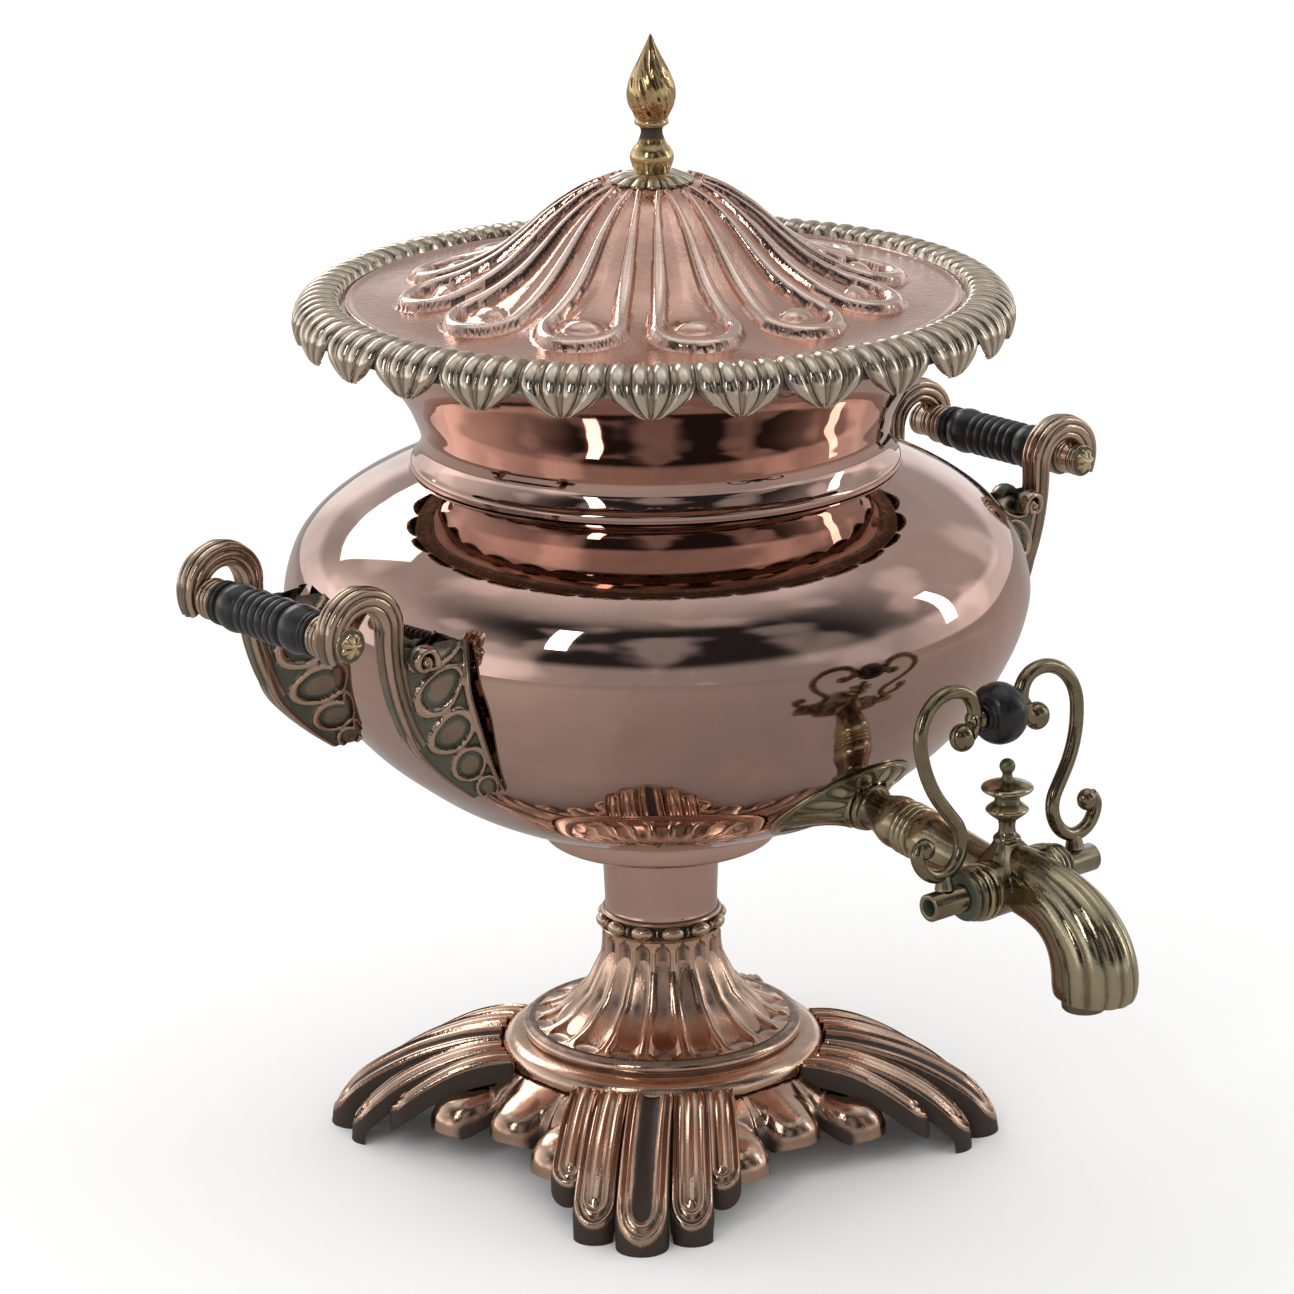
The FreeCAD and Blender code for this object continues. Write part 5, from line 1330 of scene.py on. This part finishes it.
    def cell(self, t: float, v: float) -> tuple[float, float]:
        """The carving of a flank: how far it rises, and its relief, at t from the rib and v down the leaf."""
        border = dome((t - 0.93) / 0.07) if abs(t - 0.93) < 0.07 else 0.0
        place = (v + 0.16 * t) * (self.cells + 0.6) - 0.15
        local = (place % 1.0 - 0.5) / 0.44
        middle = (t - 0.5) / 0.38
        away = math.hypot(local, middle)
        if border > 0:
            return 1.0 * border, 0.9 * border
        if away < 0.8:
            return 0.5 * dome(away / 0.8) - 0.9, 0.05 + 0.4 * dome(away / 0.6 if away < 0.6 else 1.0)
        if away < 1.15:
            rise = dome((away - 0.97) / 0.2)
            return 1.3 * rise - 0.6, 0.15 + 0.85 * rise
        return -0.6, 0.1

    def seat(self, bm: bmesh.types.BMesh) -> None:
        """Lifts what lies inside the body's wall out to just under its face."""
        for vert in bm.verts:
            z = vert.co.z / MM
            if z > self.touch[1]:
                continue
            r = around(vert.co)
            least = self.reach(clamp(z, *self.touch)) - 0.4
            if r < least and vert.co.x > 0:
                x = math.sqrt(max(least ** 2 - (vert.co.y / MM) ** 2, 1.0))
                vert.co.x = max(vert.co.x, x * MM)

    def grip_line(self) -> list[Pair]:
        """The turned outline of the grip, as (radius, distance along its axis)."""
        half = self.plane - self.boss_half - self.ferrule
        swell = curve([(7.6, -half + 4.6), (8.6, -half + 7.2), (9.2, -half + 10.4), (8.7, -half + 13.6),
                       (7.5, -half + 16.0)], 5)
        left = [*half_rounds(-half, 2.1, 2, 7.3, 1.1), *swell]
        right = [(r, -y) for r, y in reversed(left)]
        inner = half - 16.4
        return [(2.7, -half), *left, *half_rounds(-inner, inner / 3.0, 6, 7.5, 1.25), *right, (2.7, half)]

    def turned(self, line: list[Pair], name: str, finish: Finish, node: str) -> None:
        """A turned piece on the grip's axis."""
        bm = lathe(line, 72, closed=True)
        ringed(bm, 7.4, 1.2)
        self.on_axis(bm)
        add_piece(bm, name, finish, Rides.URN, [node], sharp=50)

    def on_axis(self, bm: bmesh.types.BMesh) -> None:
        """Moves a piece turned about the Z axis onto the grip's axis."""
        x, z = self.grip_axis
        moved(bm, axis_frame(Vector((x * self.side.value, 0.0, z)) * MM, Y_AXIS))

    def ferrules(self, label: str) -> None:
        """The ringed collars at the grip's ends, all in the bracket's bronze: two beads and a ring against the scroll.
        """
        near = self.plane - self.boss_half
        half = near - self.ferrule
        rings = []
        for end in (-1, 1):
            line = [(2.7, half), (6.6, half), *half_rounds(half + 0.2, 2.2, 2, 6.8, 1.0), (7.0, half + 4.8),
                    *half_rounds(half + 4.9, 2.0, 1, 7.0, 0.9), (6.8, near), (2.7, near)]
            rings.append(lathe([(r, y * end) for r, y in line], 72, closed=True))
        bm = joined(rings)
        ringed(bm, 6.9, 0.9)
        self.on_axis(bm)
        add_piece(bm, f"ferrule_rings_{label}", self.bracket_finish, Rides.URN, [f"ferrules_{label}"], sharp=50)

    def rod(self, label: str) -> None:
        """The rod through the grip, riveted over into a small ribbed shell at each end."""
        reach = self.plane + self.boss_half
        meshes = [lathe([(0.02, -reach - 0.2), (2.4, -reach - 0.2), (2.4, reach + 0.2), (0.02, reach + 0.2)], 24)]
        for end in (-1, 1):
            shell = lathe([(5.0 * math.sin(a), 2.6 * math.cos(a)) for a in (i * math.pi / 24 for i in range(13))], 98)
            for vert in shell.verts:
                r = math.hypot(vert.co.x, vert.co.y) / (5.0 * MM)
                angle = math.atan2(vert.co.y, vert.co.x)
                rib = 0.5 + 0.5 * math.cos(angle * 7.0)
                vert.co.z -= 0.8 * (1.0 - rib ** 0.7) * ease(r * 1.6) * MM
                vert.co *= 1.0 - 0.10 * (1.0 - rib) * ease((r - 0.6) / 0.4)
            bmesh.ops.transform(shell, matrix=Matrix.Translation((0, 0, reach * MM)), verts=shell.verts)
            if end < 0:
                self.flip(shell, 2)
            meshes.append(shell)
        bm = joined(meshes)
        set_relief(bm, lambda co: clamp((abs(co.z) / MM - reach + 0.3) / 2.2))
        self.on_axis(bm)
        add_piece(bm, f"grip_rivet_{label}", self.shell_finish, Rides.URN, [f"grip_rod_{label}"], sharp=50)


# The tap

@dataclass
class Tap:
    """The tap: cup on the body, baluster shank, tower and spout, glands, plug with its lever, and cap screw."""

    finish: Finish
    nozzle_finish: Finish
    grip_finish: Finish
    body_line: list[Pair]
    centre: tuple[float, float, float] = (0.0, -193.2, 151.3)
    drop: float = 8.0
    barrel: Pair = (10.6, 15.0)
    gland: Pair = (10.4, 10.0)
    tube: Pair = (5.1, 41.5)
    socket: Pair = (3.0, 5.5)
    lean: float = 6.4
    arm: float = 2.6
    cup: tuple[float, float, float] = (161.0, 29.0, 9.7)
    cells: int = 12
    screw_y: float = -190.8
    tower_top: float = 167.0
    nozzle_y: float = -230.5
    cup_wall: float = 1.6
    ball_height: float = 62.8

    def build(self) -> None:
        """Builds every piece of the tap."""
        self.escutcheon()
        self.shank()
        self.casting()
        self.glands()
        self.plug()
        self.lyre()
        self.ball_and_pin()
        self.screw()
        self.nozzle()

    @property
    def back(self) -> Vector:
        """The direction from the plug back along the shank."""
        drop = math.radians(self.drop)
        return Vector((0.0, math.cos(drop), math.sin(drop)))

    @property
    def middle(self) -> Vector:
        """The plug's centre, in metres."""
        return Vector(self.centre) * MM

    def along_tube(self, bm: bmesh.types.BMesh) -> bmesh.types.BMesh:
        """Moves a mesh turned about the Z axis onto the tube's axis."""
        return moved(bm, axis_frame(self.middle, X_AXIS))

    def escutcheon(self) -> None:
        """The trumpet-shaped cup with twelve oval cells between ribs."""
        height, rim, throat = self.cup
        slope = Vector((0.0, radius_at(self.body_line, height - 1.0) - radius_at(self.body_line, height + 1.0), 2.0))
        slope.normalize()
        normal = Vector((0.0, -slope.z, slope.y))
        centre = Vector((0.0, -radius_at(self.body_line, height), height))
        mouth = Vector(self.centre) + self.back * 76.0
        across = X_AXIS

        def place(u: float, v: float) -> Vector:
            angle = 2 * math.pi * u
            low = centre + (across * math.cos(angle) + slope * math.sin(angle)) * rim
            reach = max(radius_at(self.body_line, clamp(low.z, 131.0, 255.0)), abs(low.x) + 1.0)
            low.y = -math.sqrt(reach ** 2 - low.x ** 2) - 0.3
            up = self.back.cross(across)
            if up.dot(slope) < 0:
                up = -up
            high = mouth + (across * math.cos(angle) + up * math.sin(angle)) * throat
            knee = mouth.lerp(centre, 0.52) + (across * math.cos(angle) + slope * math.sin(angle)) * throat * 1.25
            point = low * (1 - v) ** 2 + knee * (2 * v * (1 - v)) + high * v ** 2
            radial = (across * math.cos(angle) + slope * math.sin(angle)) + normal
            return (point + radial.normalized() * self.carving(u, v)[0]) * MM

        bm = sheet(self.cells * 20 + 1, 60, place, wrap=True, relief=lambda u, v: self.carving(u, v)[1])
        thicken(faced(bm, normal), self.cup_wall * MM)
        add_piece(bm, "escutcheon_cup", self.finish, Rides.URN, ["tap_escutcheon"], sharp=60, outward=False)

    def carving(self, u: float, v: float) -> tuple[float, float]:
        """How far the cup's ornament rises, and its relief, at u round it and v up it."""
        if v < 0.09:
            ring = abs(math.sin(math.pi * v / 0.045)) ** 0.7
            return 0.7 * ring, 0.25 + 0.7 * ring
        if v > 0.9:
            return 0.0, 0.8
        local = abs((u * self.cells) % 1.0 - 0.5) * 2.0
        along = (v - 0.5) / 0.42
        away = math.hypot(local / 0.82, along)
        if away < 0.86:
            pad = dome(away / 0.86)
            return 0.45 * pad - 0.2, 0.55 + 0.45 * pad
        if away < 1.0:
            return -0.45, 0.05
        rib = ease((away - 1.0) / 0.12)
        return 0.8 * rib - 0.45, 0.1 + 0.32 * rib

    def shank(self) -> None:
        """The turned baluster between the cup and the plug."""
        line = curve([(8.4, 3.0), (8.7, 17.0), (9.4, 31.0), (10.3, 39.0), (10.2, 43.0), (9.2, 46.6)], 6)
        rear = curve([(9.2, 55.0), (9.9, 58.0), (9.6, 61.4), (8.0, 66.0), (7.2, 69.6), (7.7, 72.6), (8.9, 73.2)], 6)
        bm = lathe([(3.6, 3.0), *line, *half_rounds(47.0, 2.6, 3, 9.2, 1.0), *rear, (9.3, 74.6), (8.8, 76.2),
                    (6.5, 76.2), (6.5, 116.0), (3.6, 116.0)], 96, closed=True)
        ringed(bm, 8.4, 1.5, 0.5, 0.45)
        moved(bm, axis_frame(self.middle, self.back))
        add_piece(bm, "shank_turned", self.finish, Rides.URN, ["tap_shank"], sharp=50)

    def casting(self) -> None:
        """Barrel, tower and ribbed spout."""
        radius, half = self.barrel
        barrel = lathe([(7.2, -half), (radius - 0.5, -half), (radius, -half + 0.6), (radius - 0.3, -half + 3.0),
                        (radius - 0.3, half - 3.0), (radius, half - 0.6), (radius - 0.5, half), (7.2, half)], 96,
                       closed=True)
        set_relief(barrel, lambda co: 0.4)
        self.along_tube(barrel)
        add_piece(joined([barrel, self.tower(), self.spout()]), "tap_casting", self.finish, Rides.URN,
                  ["tap_body"], sharp=55)

    def tower(self) -> bmesh.types.BMesh:
        """The four-sided tower that draws in to the cap screw."""
        base = self.centre[2] + 1.0
        levels = curve([(13.4, 12.4, base), (12.0, 11.4, base + 5.0), (9.2, 8.8, base + 9.4), (6.6, 6.4, base + 12.4),
                        (5.2, 5.2, self.tower_top - 0.4), (4.6, 4.6, self.tower_top)], 5)

        def place(u: float, v: float) -> Vector:
            angle = 2 * math.pi * u
            wide, deep, z = sample(levels, v)
            power = mix(2.6, 2.0, ease(v * 1.1))
            c, s = math.cos(angle), math.sin(angle)
            size = (abs(c) ** power + abs(s) ** power) ** (-1 / power)
            ridge = 1.0 + 0.07 * (1.0 - ease((v - 0.5) / 0.5)) * (abs(math.sin(2 * angle)) ** 5.0 - 0.3)
            y = mix(self.centre[1], self.screw_y, v) + deep * s * size * ridge
            return Vector((wide * c * size * ridge * MM, y * MM, z * MM))

        bm = sheet(97, 40, place, wrap=True)
        set_relief(bm, lambda co: 0.35 + 0.5 * abs(math.sin(2 * math.atan2(co.y - self.screw_y * MM, co.x))) ** 4)
        top = [edge for edge in bm.edges if edge.is_boundary and edge.verts[0].co.z > (self.tower_top - 0.5) * MM]
        bmesh.ops.edgeloop_fill(bm, edges=top)
        bmesh.ops.recalc_face_normals(bm, faces=bm.faces)
        return bm

    def spout(self) -> bmesh.types.BMesh:
        """The spout: ridges spring from the tower, fan over its bend and end as lobes at its mouth."""
        rows = curve([(1.0, 14.6, 1.0, -9.6, 8.4), (-10.0, 14.8, -6.0, -10.8, 9.4),
                      (-24.0, 12.0, -13.0, -12.4, 10.2), (-36.0, 7.4, -18.4, -14.6, 11.0),
                      (-45.8, 0.8, -21.8, -17.4, 11.8), (-53.2, -7.4, -23.8, -21.2, 12.4),
                      (-57.6, -17.0, -24.8, -25.6, 12.9), (-58.6, -26.4, -25.2, -29.8, 13.0),
                      (-56.4, -32.2, -26.0, -32.8, 12.0), (-53.0, -33.0, -27.6, -33.2, 9.0)], 8)
        ridges = [0.0, 24.0, 47.0, 74.0]

        def rib(turn: float) -> float:
            side = abs((turn + 180.0) % 360.0 - 180.0)
            if side > 98.0:
                return 0.0
            if side > ridges[-1] + 14.0:
                return dome((side - ridges[-1]) / 26.0) * 0.8
            return max(dome((side - ridge) / 13.5) for ridge in ridges)

        def place(u: float, v: float) -> Vector:
            turn = 360.0 * u
            angle = math.radians(turn)
            top_y, top_z, low_y, low_z, half = sample(rows, v)
            y = mix(low_y, top_y, 0.5 + 0.5 * math.cos(angle))
            z = mix(low_z, top_z, 0.5 + 0.5 * math.cos(angle))
            swell = 1.15 * rib(turn) * ease((v - 0.1) / 0.35) * mix(1.0, 0.4, ease((v - 0.93) / 0.07))
            middle_y, middle_z = (top_y + low_y) / 2, (top_z + low_z) / 2
            away = Vector((half * math.sin(angle), y - middle_y, z - middle_z))
            point = Vector((0.0, middle_y, middle_z)) + away * (1.0 + swell / max(away.length, 1.0))
            return (Vector(self.centre) + point) * MM

        def relief(u: float, v: float) -> float:
            if abs((360.0 * u + 180.0) % 360.0 - 180.0) > 98.0:
                return 0.5
            return mix(0.5, 0.1 + 0.85 * rib(360.0 * u), ease((v - 0.08) / 0.3))

        bm = sheet(181, 90, place, wrap=True, relief=relief)
        ends = [edge for edge in bm.edges if edge.is_boundary]
        bmesh.ops.holes_fill(bm, edges=ends, sides=0)
        bmesh.ops.recalc_face_normals(bm, faces=bm.faces)
        return bm

    def glands(self) -> None:
        """The ringed gland nuts on the barrel's ends."""
        radius, length = self.gland
        start = self.barrel[1]
        for side in Side:
            line = [(5.2, start), (radius - 0.4, start), (radius + 0.2, start + 0.5), (radius + 0.2, start + 1.3),
                    *half_rounds(start + 1.6, (length - 1.6) / 3, 3, radius - 1.5, 1.5, 0.7),
                    (7.2, start + length), (5.2, start + length)]
            bm = lathe([(r, x * side.value) for r, x in line], 96, closed=True)
            ringed(bm, 8.3, 1.8)
            self.along_tube(bm)
            add_piece(bm, f"gland_rings_{side.name.lower()}", self.finish, Rides.URN,
                      [f"tap_gland_{side.name.lower()}"], sharp=50)

    def plug(self) -> None:
        """The plug and its hollow tube ends."""
        radius, half = self.tube
        bore, deep = self.socket
        line = [(0.02, -half + deep), (bore, -half + deep), (bore, -half + 0.3), (bore + 0.3, -half),
                (radius - 0.5, -half), (radius, -half + 0.5), (radius, -14.7), (7.0, -14.7)]
        bm = lathe([*line, *[(r, -x) for r, x in reversed(line)]], 72)
        set_relief(bm, lambda co: 0.0 if abs(co.z) / MM > 30 and around(co) < bore + 0.1 else 0.6)
        self.along_tube(bm)
        add_piece(bm, "plug_tube", self.finish, Rides.LEVER, ["tap_plug"], sharp=50)

    def leaned(self, bm: bmesh.types.BMesh) -> bmesh.types.BMesh:
        """Sets a lever piece, drawn upright over the tube's axis, at its rest lean."""
        turn = Matrix.Rotation(math.radians(-self.lean), 4, "X")
        return moved(bm, Matrix.Translation(self.middle) @ turn)

    def lyre(self) -> None:
        """The two S-shaped arms of round bar, with flattened balls at their curled ends."""
        path = bend_path((43.2, 23.0), -40.0, [(4.7, -68.0), (11.0, -90.0), (11.1, -110.0), (8.6, 0), (40.6, 35.0),
                                               (16.4, 111.0), (9.3, 125.0), (4.0, 40.0)], 5.0)
        for side in Side:
            points = [Vector((x * MM, 0.0, z * MM)) for x, z in path]
            frames = path_frames(points, -Y_AXIS,
                                 lambda t: 1.0 - 0.12 * (1.0 - ease(t / 0.1)) + 0.12 * ease((t - 0.55) / 0.3))
            bar = sweep([(a * MM, b * MM) for a, b in round_section(self.arm, 24)], frames)
            end = path[-1]
            lower = ball(Vector((41.0, 0.0, 21.6)) * MM, (4.1 * MM, 3.4 * MM, 4.1 * MM))
            upper = ball(Vector((end[0] + 1.0, 0.0, end[1] + 0.5)) * MM, (5.2 * MM, 4.2 * MM, 5.2 * MM))
            foot = lathe([(0.02, 5.0), (3.6, 5.0), (3.4, 6.2), (2.9, 8.4), (2.7, 10.0), (0.02, 10.4)], 32)
            bmesh.ops.translate(foot, vec=(33.0 * MM, 0.0, 0.0), verts=foot.verts)
            collar = lathe([(1.3, 8.8), (3.2, 8.8), (3.9, 9.6), (3.9, 10.6), (3.2, 11.2), (3.4, 13.8), (1.3, 14.0)], 40,
                           closed=True)
            moved(collar, axis_frame(Z_AXIS * self.ball_height * MM, X_AXIS))
            bm = set_relief(joined([bar, lower, upper, foot, collar]), lambda co: 0.62)
            bmesh.ops.recalc_face_normals(bm, faces=bm.faces)
            if side is Side.LEFT:
                bmesh.ops.scale(bm, vec=(-1.0, 1.0, 1.0), verts=bm.verts)
                bmesh.ops.reverse_faces(bm, faces=bm.faces)
            self.leaned(bm)
            add_piece(bm, f"lyre_arm_{side.name.lower()}", self.finish, Rides.LEVER,
                      [f"tap_lyre_{side.name.lower()}"], sharp=50)

    def ball_and_pin(self) -> None:
        """The flattened ebony ball, and the pin that holds it between the arms."""
        half = [(1.4, -8.5), (4.4, -8.5), (4.9, -7.8), (5.6, -7.9),
                *curve([(6.2, -7.4), (8.4, -6.6), (10.2, -4.6), (11.2, -2.2), (11.4, 0.0)], 5)]
        bm = lathe([*half, *[(r, -x) for r, x in reversed(half[:-1])]], 96, closed=True)
        set_relief(bm, lambda co: 0.6)
        moved(bm, axis_frame(Z_AXIS * self.ball_height * MM, X_AXIS))
        self.leaned(bm)
        add_piece(bm, "lever_knob", self.grip_finish, Rides.LEVER, ["lever_ball"], sharp=50)
        pin = lathe([(0.02, -15.4), (1.6, -15.2), (2.8, -14.2), (1.2, -14.0), (1.2, 14.0), (2.8, 14.2), (1.6, 15.2),
                     (0.02, 15.4)], 32)
        set_relief(pin, lambda co: 0.6)
        moved(pin, axis_frame(Z_AXIS * self.ball_height * MM, X_AXIS))
        self.leaned(pin)
        add_piece(pin, "lever_rivet", self.finish, Rides.LEVER, ["lever_pin"], sharp=50)

    def screw(self) -> None:
        """The cap screw: two thin discs on a waisted stem, and a small ball."""
        z = self.tower_top
        neck = curve([(5.0, z - 0.1), (4.9, z + 1.2), (3.4, z + 2.8), (3.0, z + 5.4), (3.4, z + 7.6)], 4)
        low = curve([(5.6, z + 9.2), (7.4, z + 10.8), (7.8, z + 11.8), (6.6, z + 13.0), (4.7, z + 14.4)], 4)
        high = curve([(4.5, z + 16.2), (6.6, z + 17.4), (9.0, z + 18.8), (9.5, z + 19.8), (8.6, z + 20.8),
                      (5.4, z + 21.8), (2.6, z + 22.8), (1.8, z + 24.4), (1.9, z + 25.4)], 4)
        tip = [(2.9 * math.sin(a), z + 27.8 - 2.9 * math.cos(a)) for a in (math.pi * i / 16 for i in range(4, 16))]
        bm = lathe([(3.3, z - 6.0), *neck, *low, *high, *tip, (0.02, z + 30.7)], 80)
        ringed(bm, 3.0, 4.0, 0.6, 0.3)
        bmesh.ops.translate(bm, vec=(0.0, self.screw_y * MM, 0.0), verts=bm.verts)
        add_piece(bm, "cap_screw", self.finish, Rides.SCREW, ["tap_top_screw"], sharp=50)

    def nozzle(self) -> None:
        """The short dark outlet under the spout."""
        bm = lathe([(5.0, 113.0), (7.4, 113.0), (8.1, 113.8), (8.3, 116.4), (8.0, 118.4), (6.8, 118.4), (6.8, 125.0),
                    (5.0, 125.0)], 64, closed=True)
        set_relief(bm, lambda co: 0.5)
        bmesh.ops.translate(bm, vec=(0.0, self.nozzle_y * MM, 0.0), verts=bm.verts)
        add_piece(bm, "outlet_tube", self.nozzle_finish, Rides.URN, ["tap_nozzle"], sharp=50)


# Studio and camera

@dataclass
class Studio:
    """A pale floor, a white surround and soft lamps, and a dim room that only the metal sees."""

    floor_size: float = 6.0
    back: float = 1.0
    dark: float = 0.025
    bright: float = 0.42
    toward: Pair = (-0.65, -0.76)
    centre: Vector = Vector((0.0, 0.0, 0.22))

    def build(self) -> None:
        """Builds the world, the floor and the lamps."""
        self.world()
        self.floor()
        self.lamp("key", (-1.6, -0.5, 1.3), 0.22, 0.8, 3.6)
        self.lamp("fill", (1.5, -1.0, 0.8), 0.2, 0.9, 1.8)
        self.lamp("rear", (0.3, 1.9, 1.5), 1.2, 0.9, 8.0)

    def world(self) -> None:
        """A surround that is white to the camera and the floor; the metal sees a dim room, light behind."""
        world = bpy.data.worlds.new("studio")
        bpy.context.scene.world = world
        world.use_nodes = True
        tree = world.node_tree
        tree.nodes.clear()
        nodes = Nodes(tree)
        path = nodes.add("ShaderNodeLightPath")
        plain = nodes.math("SUBTRACT", 1.0, path.outputs["Is Glossy Ray"])
        place = nodes.add("ShaderNodeTexCoord").outputs["Generated"]
        split = nodes.add("ShaderNodeSeparateXYZ", Vector=place)

        def facing(x: float, y: float) -> bpy.types.NodeSocket:
            return nodes.math("ADD", nodes.math("MULTIPLY", split.outputs["X"], x),
                              nodes.math("MULTIPLY", split.outputs["Y"], y))

        x, y = self.toward
        ahead, left = facing(x, y), facing(y, -x)
        room = nodes.math("MULTIPLY", nodes.span(ahead, 0.5, -0.35), self.bright)
        window = nodes.math("MULTIPLY", nodes.span(left, 0.55, 0.8), nodes.span(split.outputs["Z"], 0.75, 0.3))
        lights = nodes.noise(place, 2.6, 1.5, 0.45)
        high = nodes.span(split.outputs["Z"], 0.74, 0.97, 0.0, 0.45)
        band = nodes.span(split.outputs["Z"], 0.26, 0.17, 0.0, 0.4)
        patches = nodes.math("ADD", nodes.math("MULTIPLY", nodes.span(lights, 0.5, 0.66), 0.3),
                             nodes.math("ADD", high, band))
        dim = nodes.math("ADD", patches, self.dark)
        glossy = nodes.math("ADD", nodes.math("ADD", room, nodes.math("MULTIPLY", window, 0.4)), dim)
        strength = nodes.math("ADD", nodes.math("MULTIPLY", plain, self.back),
                              nodes.math("MULTIPLY", path.outputs["Is Glossy Ray"], glossy))
        light = nodes.add("ShaderNodeBackground", Color=(1, 1, 1, 1), Strength=strength)
        out = nodes.add("ShaderNodeOutputWorld")
        tree.links.new(light.outputs[0], out.inputs["Surface"])

    def floor(self) -> None:
        """The plain floor that the urn stands on: white to the camera, and a painted darker grey in the metal's
        reflections.
        """
        bm = bmesh.new()
        bmesh.ops.create_grid(bm, x_segments=2, y_segments=2, size=self.floor_size)
        mesh = bpy.data.meshes.new("floor")
        bm.to_mesh(mesh)
        bm.free()
        floor = bpy.data.objects.new("floor", mesh)
        bpy.context.scene.collection.objects.link(floor)
        material = bpy.data.materials.new("floor_white")
        material.use_nodes = True
        nodes = Nodes(material.node_tree)
        shader = material.node_tree.nodes["Principled BSDF"]
        path = nodes.add("ShaderNodeLightPath")
        # Painted reflection: glossy rays see the floor as dark grey, so the metal mirrors a dimmer floor than the
        # camera sees.
        nodes.feed(shader.inputs["Base Color"], nodes.blend(path.outputs["Is Glossy Ray"], (0.97, 0.97, 0.97, 1),
                                                            (0.4, 0.375, 0.36, 1)))
        shader.inputs["Roughness"].default_value = 0.7
        shader.inputs["Specular IOR Level"].default_value = 0.0
        mesh.materials.append(material)

    def lamp(self, name: str, place: Sequence[float], width: float, height: float, power: float) -> None:
        """An area lamp that faces the urn."""
        light = bpy.data.lights.new(name, "AREA")
        light.shape = "RECTANGLE"
        light.size, light.size_y, light.energy = width, height, power
        lamp = bpy.data.objects.new(name, light)
        lamp.location = place
        lamp.rotation_euler = (self.centre - Vector(place)).to_track_quat("-Z", "Y").to_euler()
        bpy.context.scene.collection.objects.link(lamp)


@dataclass
class Camera:
    """The camera that took the photograph, worked out from points of the urn."""

    place: Vector = Vector((-1.28459, -1.48186, 0.79414))
    turn: float = -40.92
    tilt: float = 16.45
    roll: float = -0.712
    lens: float = 148.12
    shift: Pair = (-0.00797, -0.0344)

    def build(self) -> None:
        """Makes the camera and gives it to the scene."""
        a, e, r = (math.radians(value) for value in (self.turn, self.tilt, self.roll))
        back = Vector((math.sin(a) * math.cos(e), -math.cos(a) * math.cos(e), math.sin(e)))
        level = Vector((math.cos(a), math.sin(a), 0.0))
        up = back.cross(level)
        right = level * math.cos(r) + up * math.sin(r)
        up = up * math.cos(r) - level * math.sin(r)
        lens = bpy.data.cameras.new("camera")
        lens.sensor_width, lens.lens = 36.0, self.lens
        lens.shift_x, lens.shift_y = self.shift
        camera = bpy.data.objects.new("camera", lens)
        columns = Matrix((right, up, back)).transposed().to_4x4()
        camera.matrix_world = Matrix.Translation(self.place) @ columns
        bpy.context.scene.collection.objects.link(camera)
        bpy.context.scene.camera = camera


# The whole scene

def dress_nodes(frame: dict, finishes: Finishes) -> None:
    """Gives every node of the frame that stays the finish of its slot."""
    by_slot = finishes.by_slot()
    for name, node in frame["nodes"].items():
        for slot in node.material_slots:
            key = slot.material.name.split(".")[0] if slot.material else ""
            if key in by_slot:
                slot.material = by_slot[key].material()
            else:
                log.warning("%s: no finish for slot %s", name, key)


def main() -> None:
    """Builds every piece over the frame, then the studio and the camera."""
    logging.basicConfig(level=logging.INFO, format="%(name)s: %(message)s")
    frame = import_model()
    bpy.context.scene.view_settings.view_transform = "Standard"
    finishes = Finishes()
    dress_nodes(frame, finishes)
    vessel = Vessel(finishes.body)
    vessel.build()
    RimBorder(finishes.rim).build()
    Lid(finishes.lid, finishes.rosette, finishes.finial).build()
    Pedestal(finishes.foot, finishes.collar).build()
    Foot(finishes.foot).build()
    for side in Side:
        Handle(side, finishes.bracket, finishes.ebony, finishes.shell, vessel.body_line()).build()
    Tap(finishes.tap, finishes.nozzle, finishes.ebony, vessel.body_line()).build()
    Studio().build()
    Camera().build()


if __name__ == "__main__":
    main()
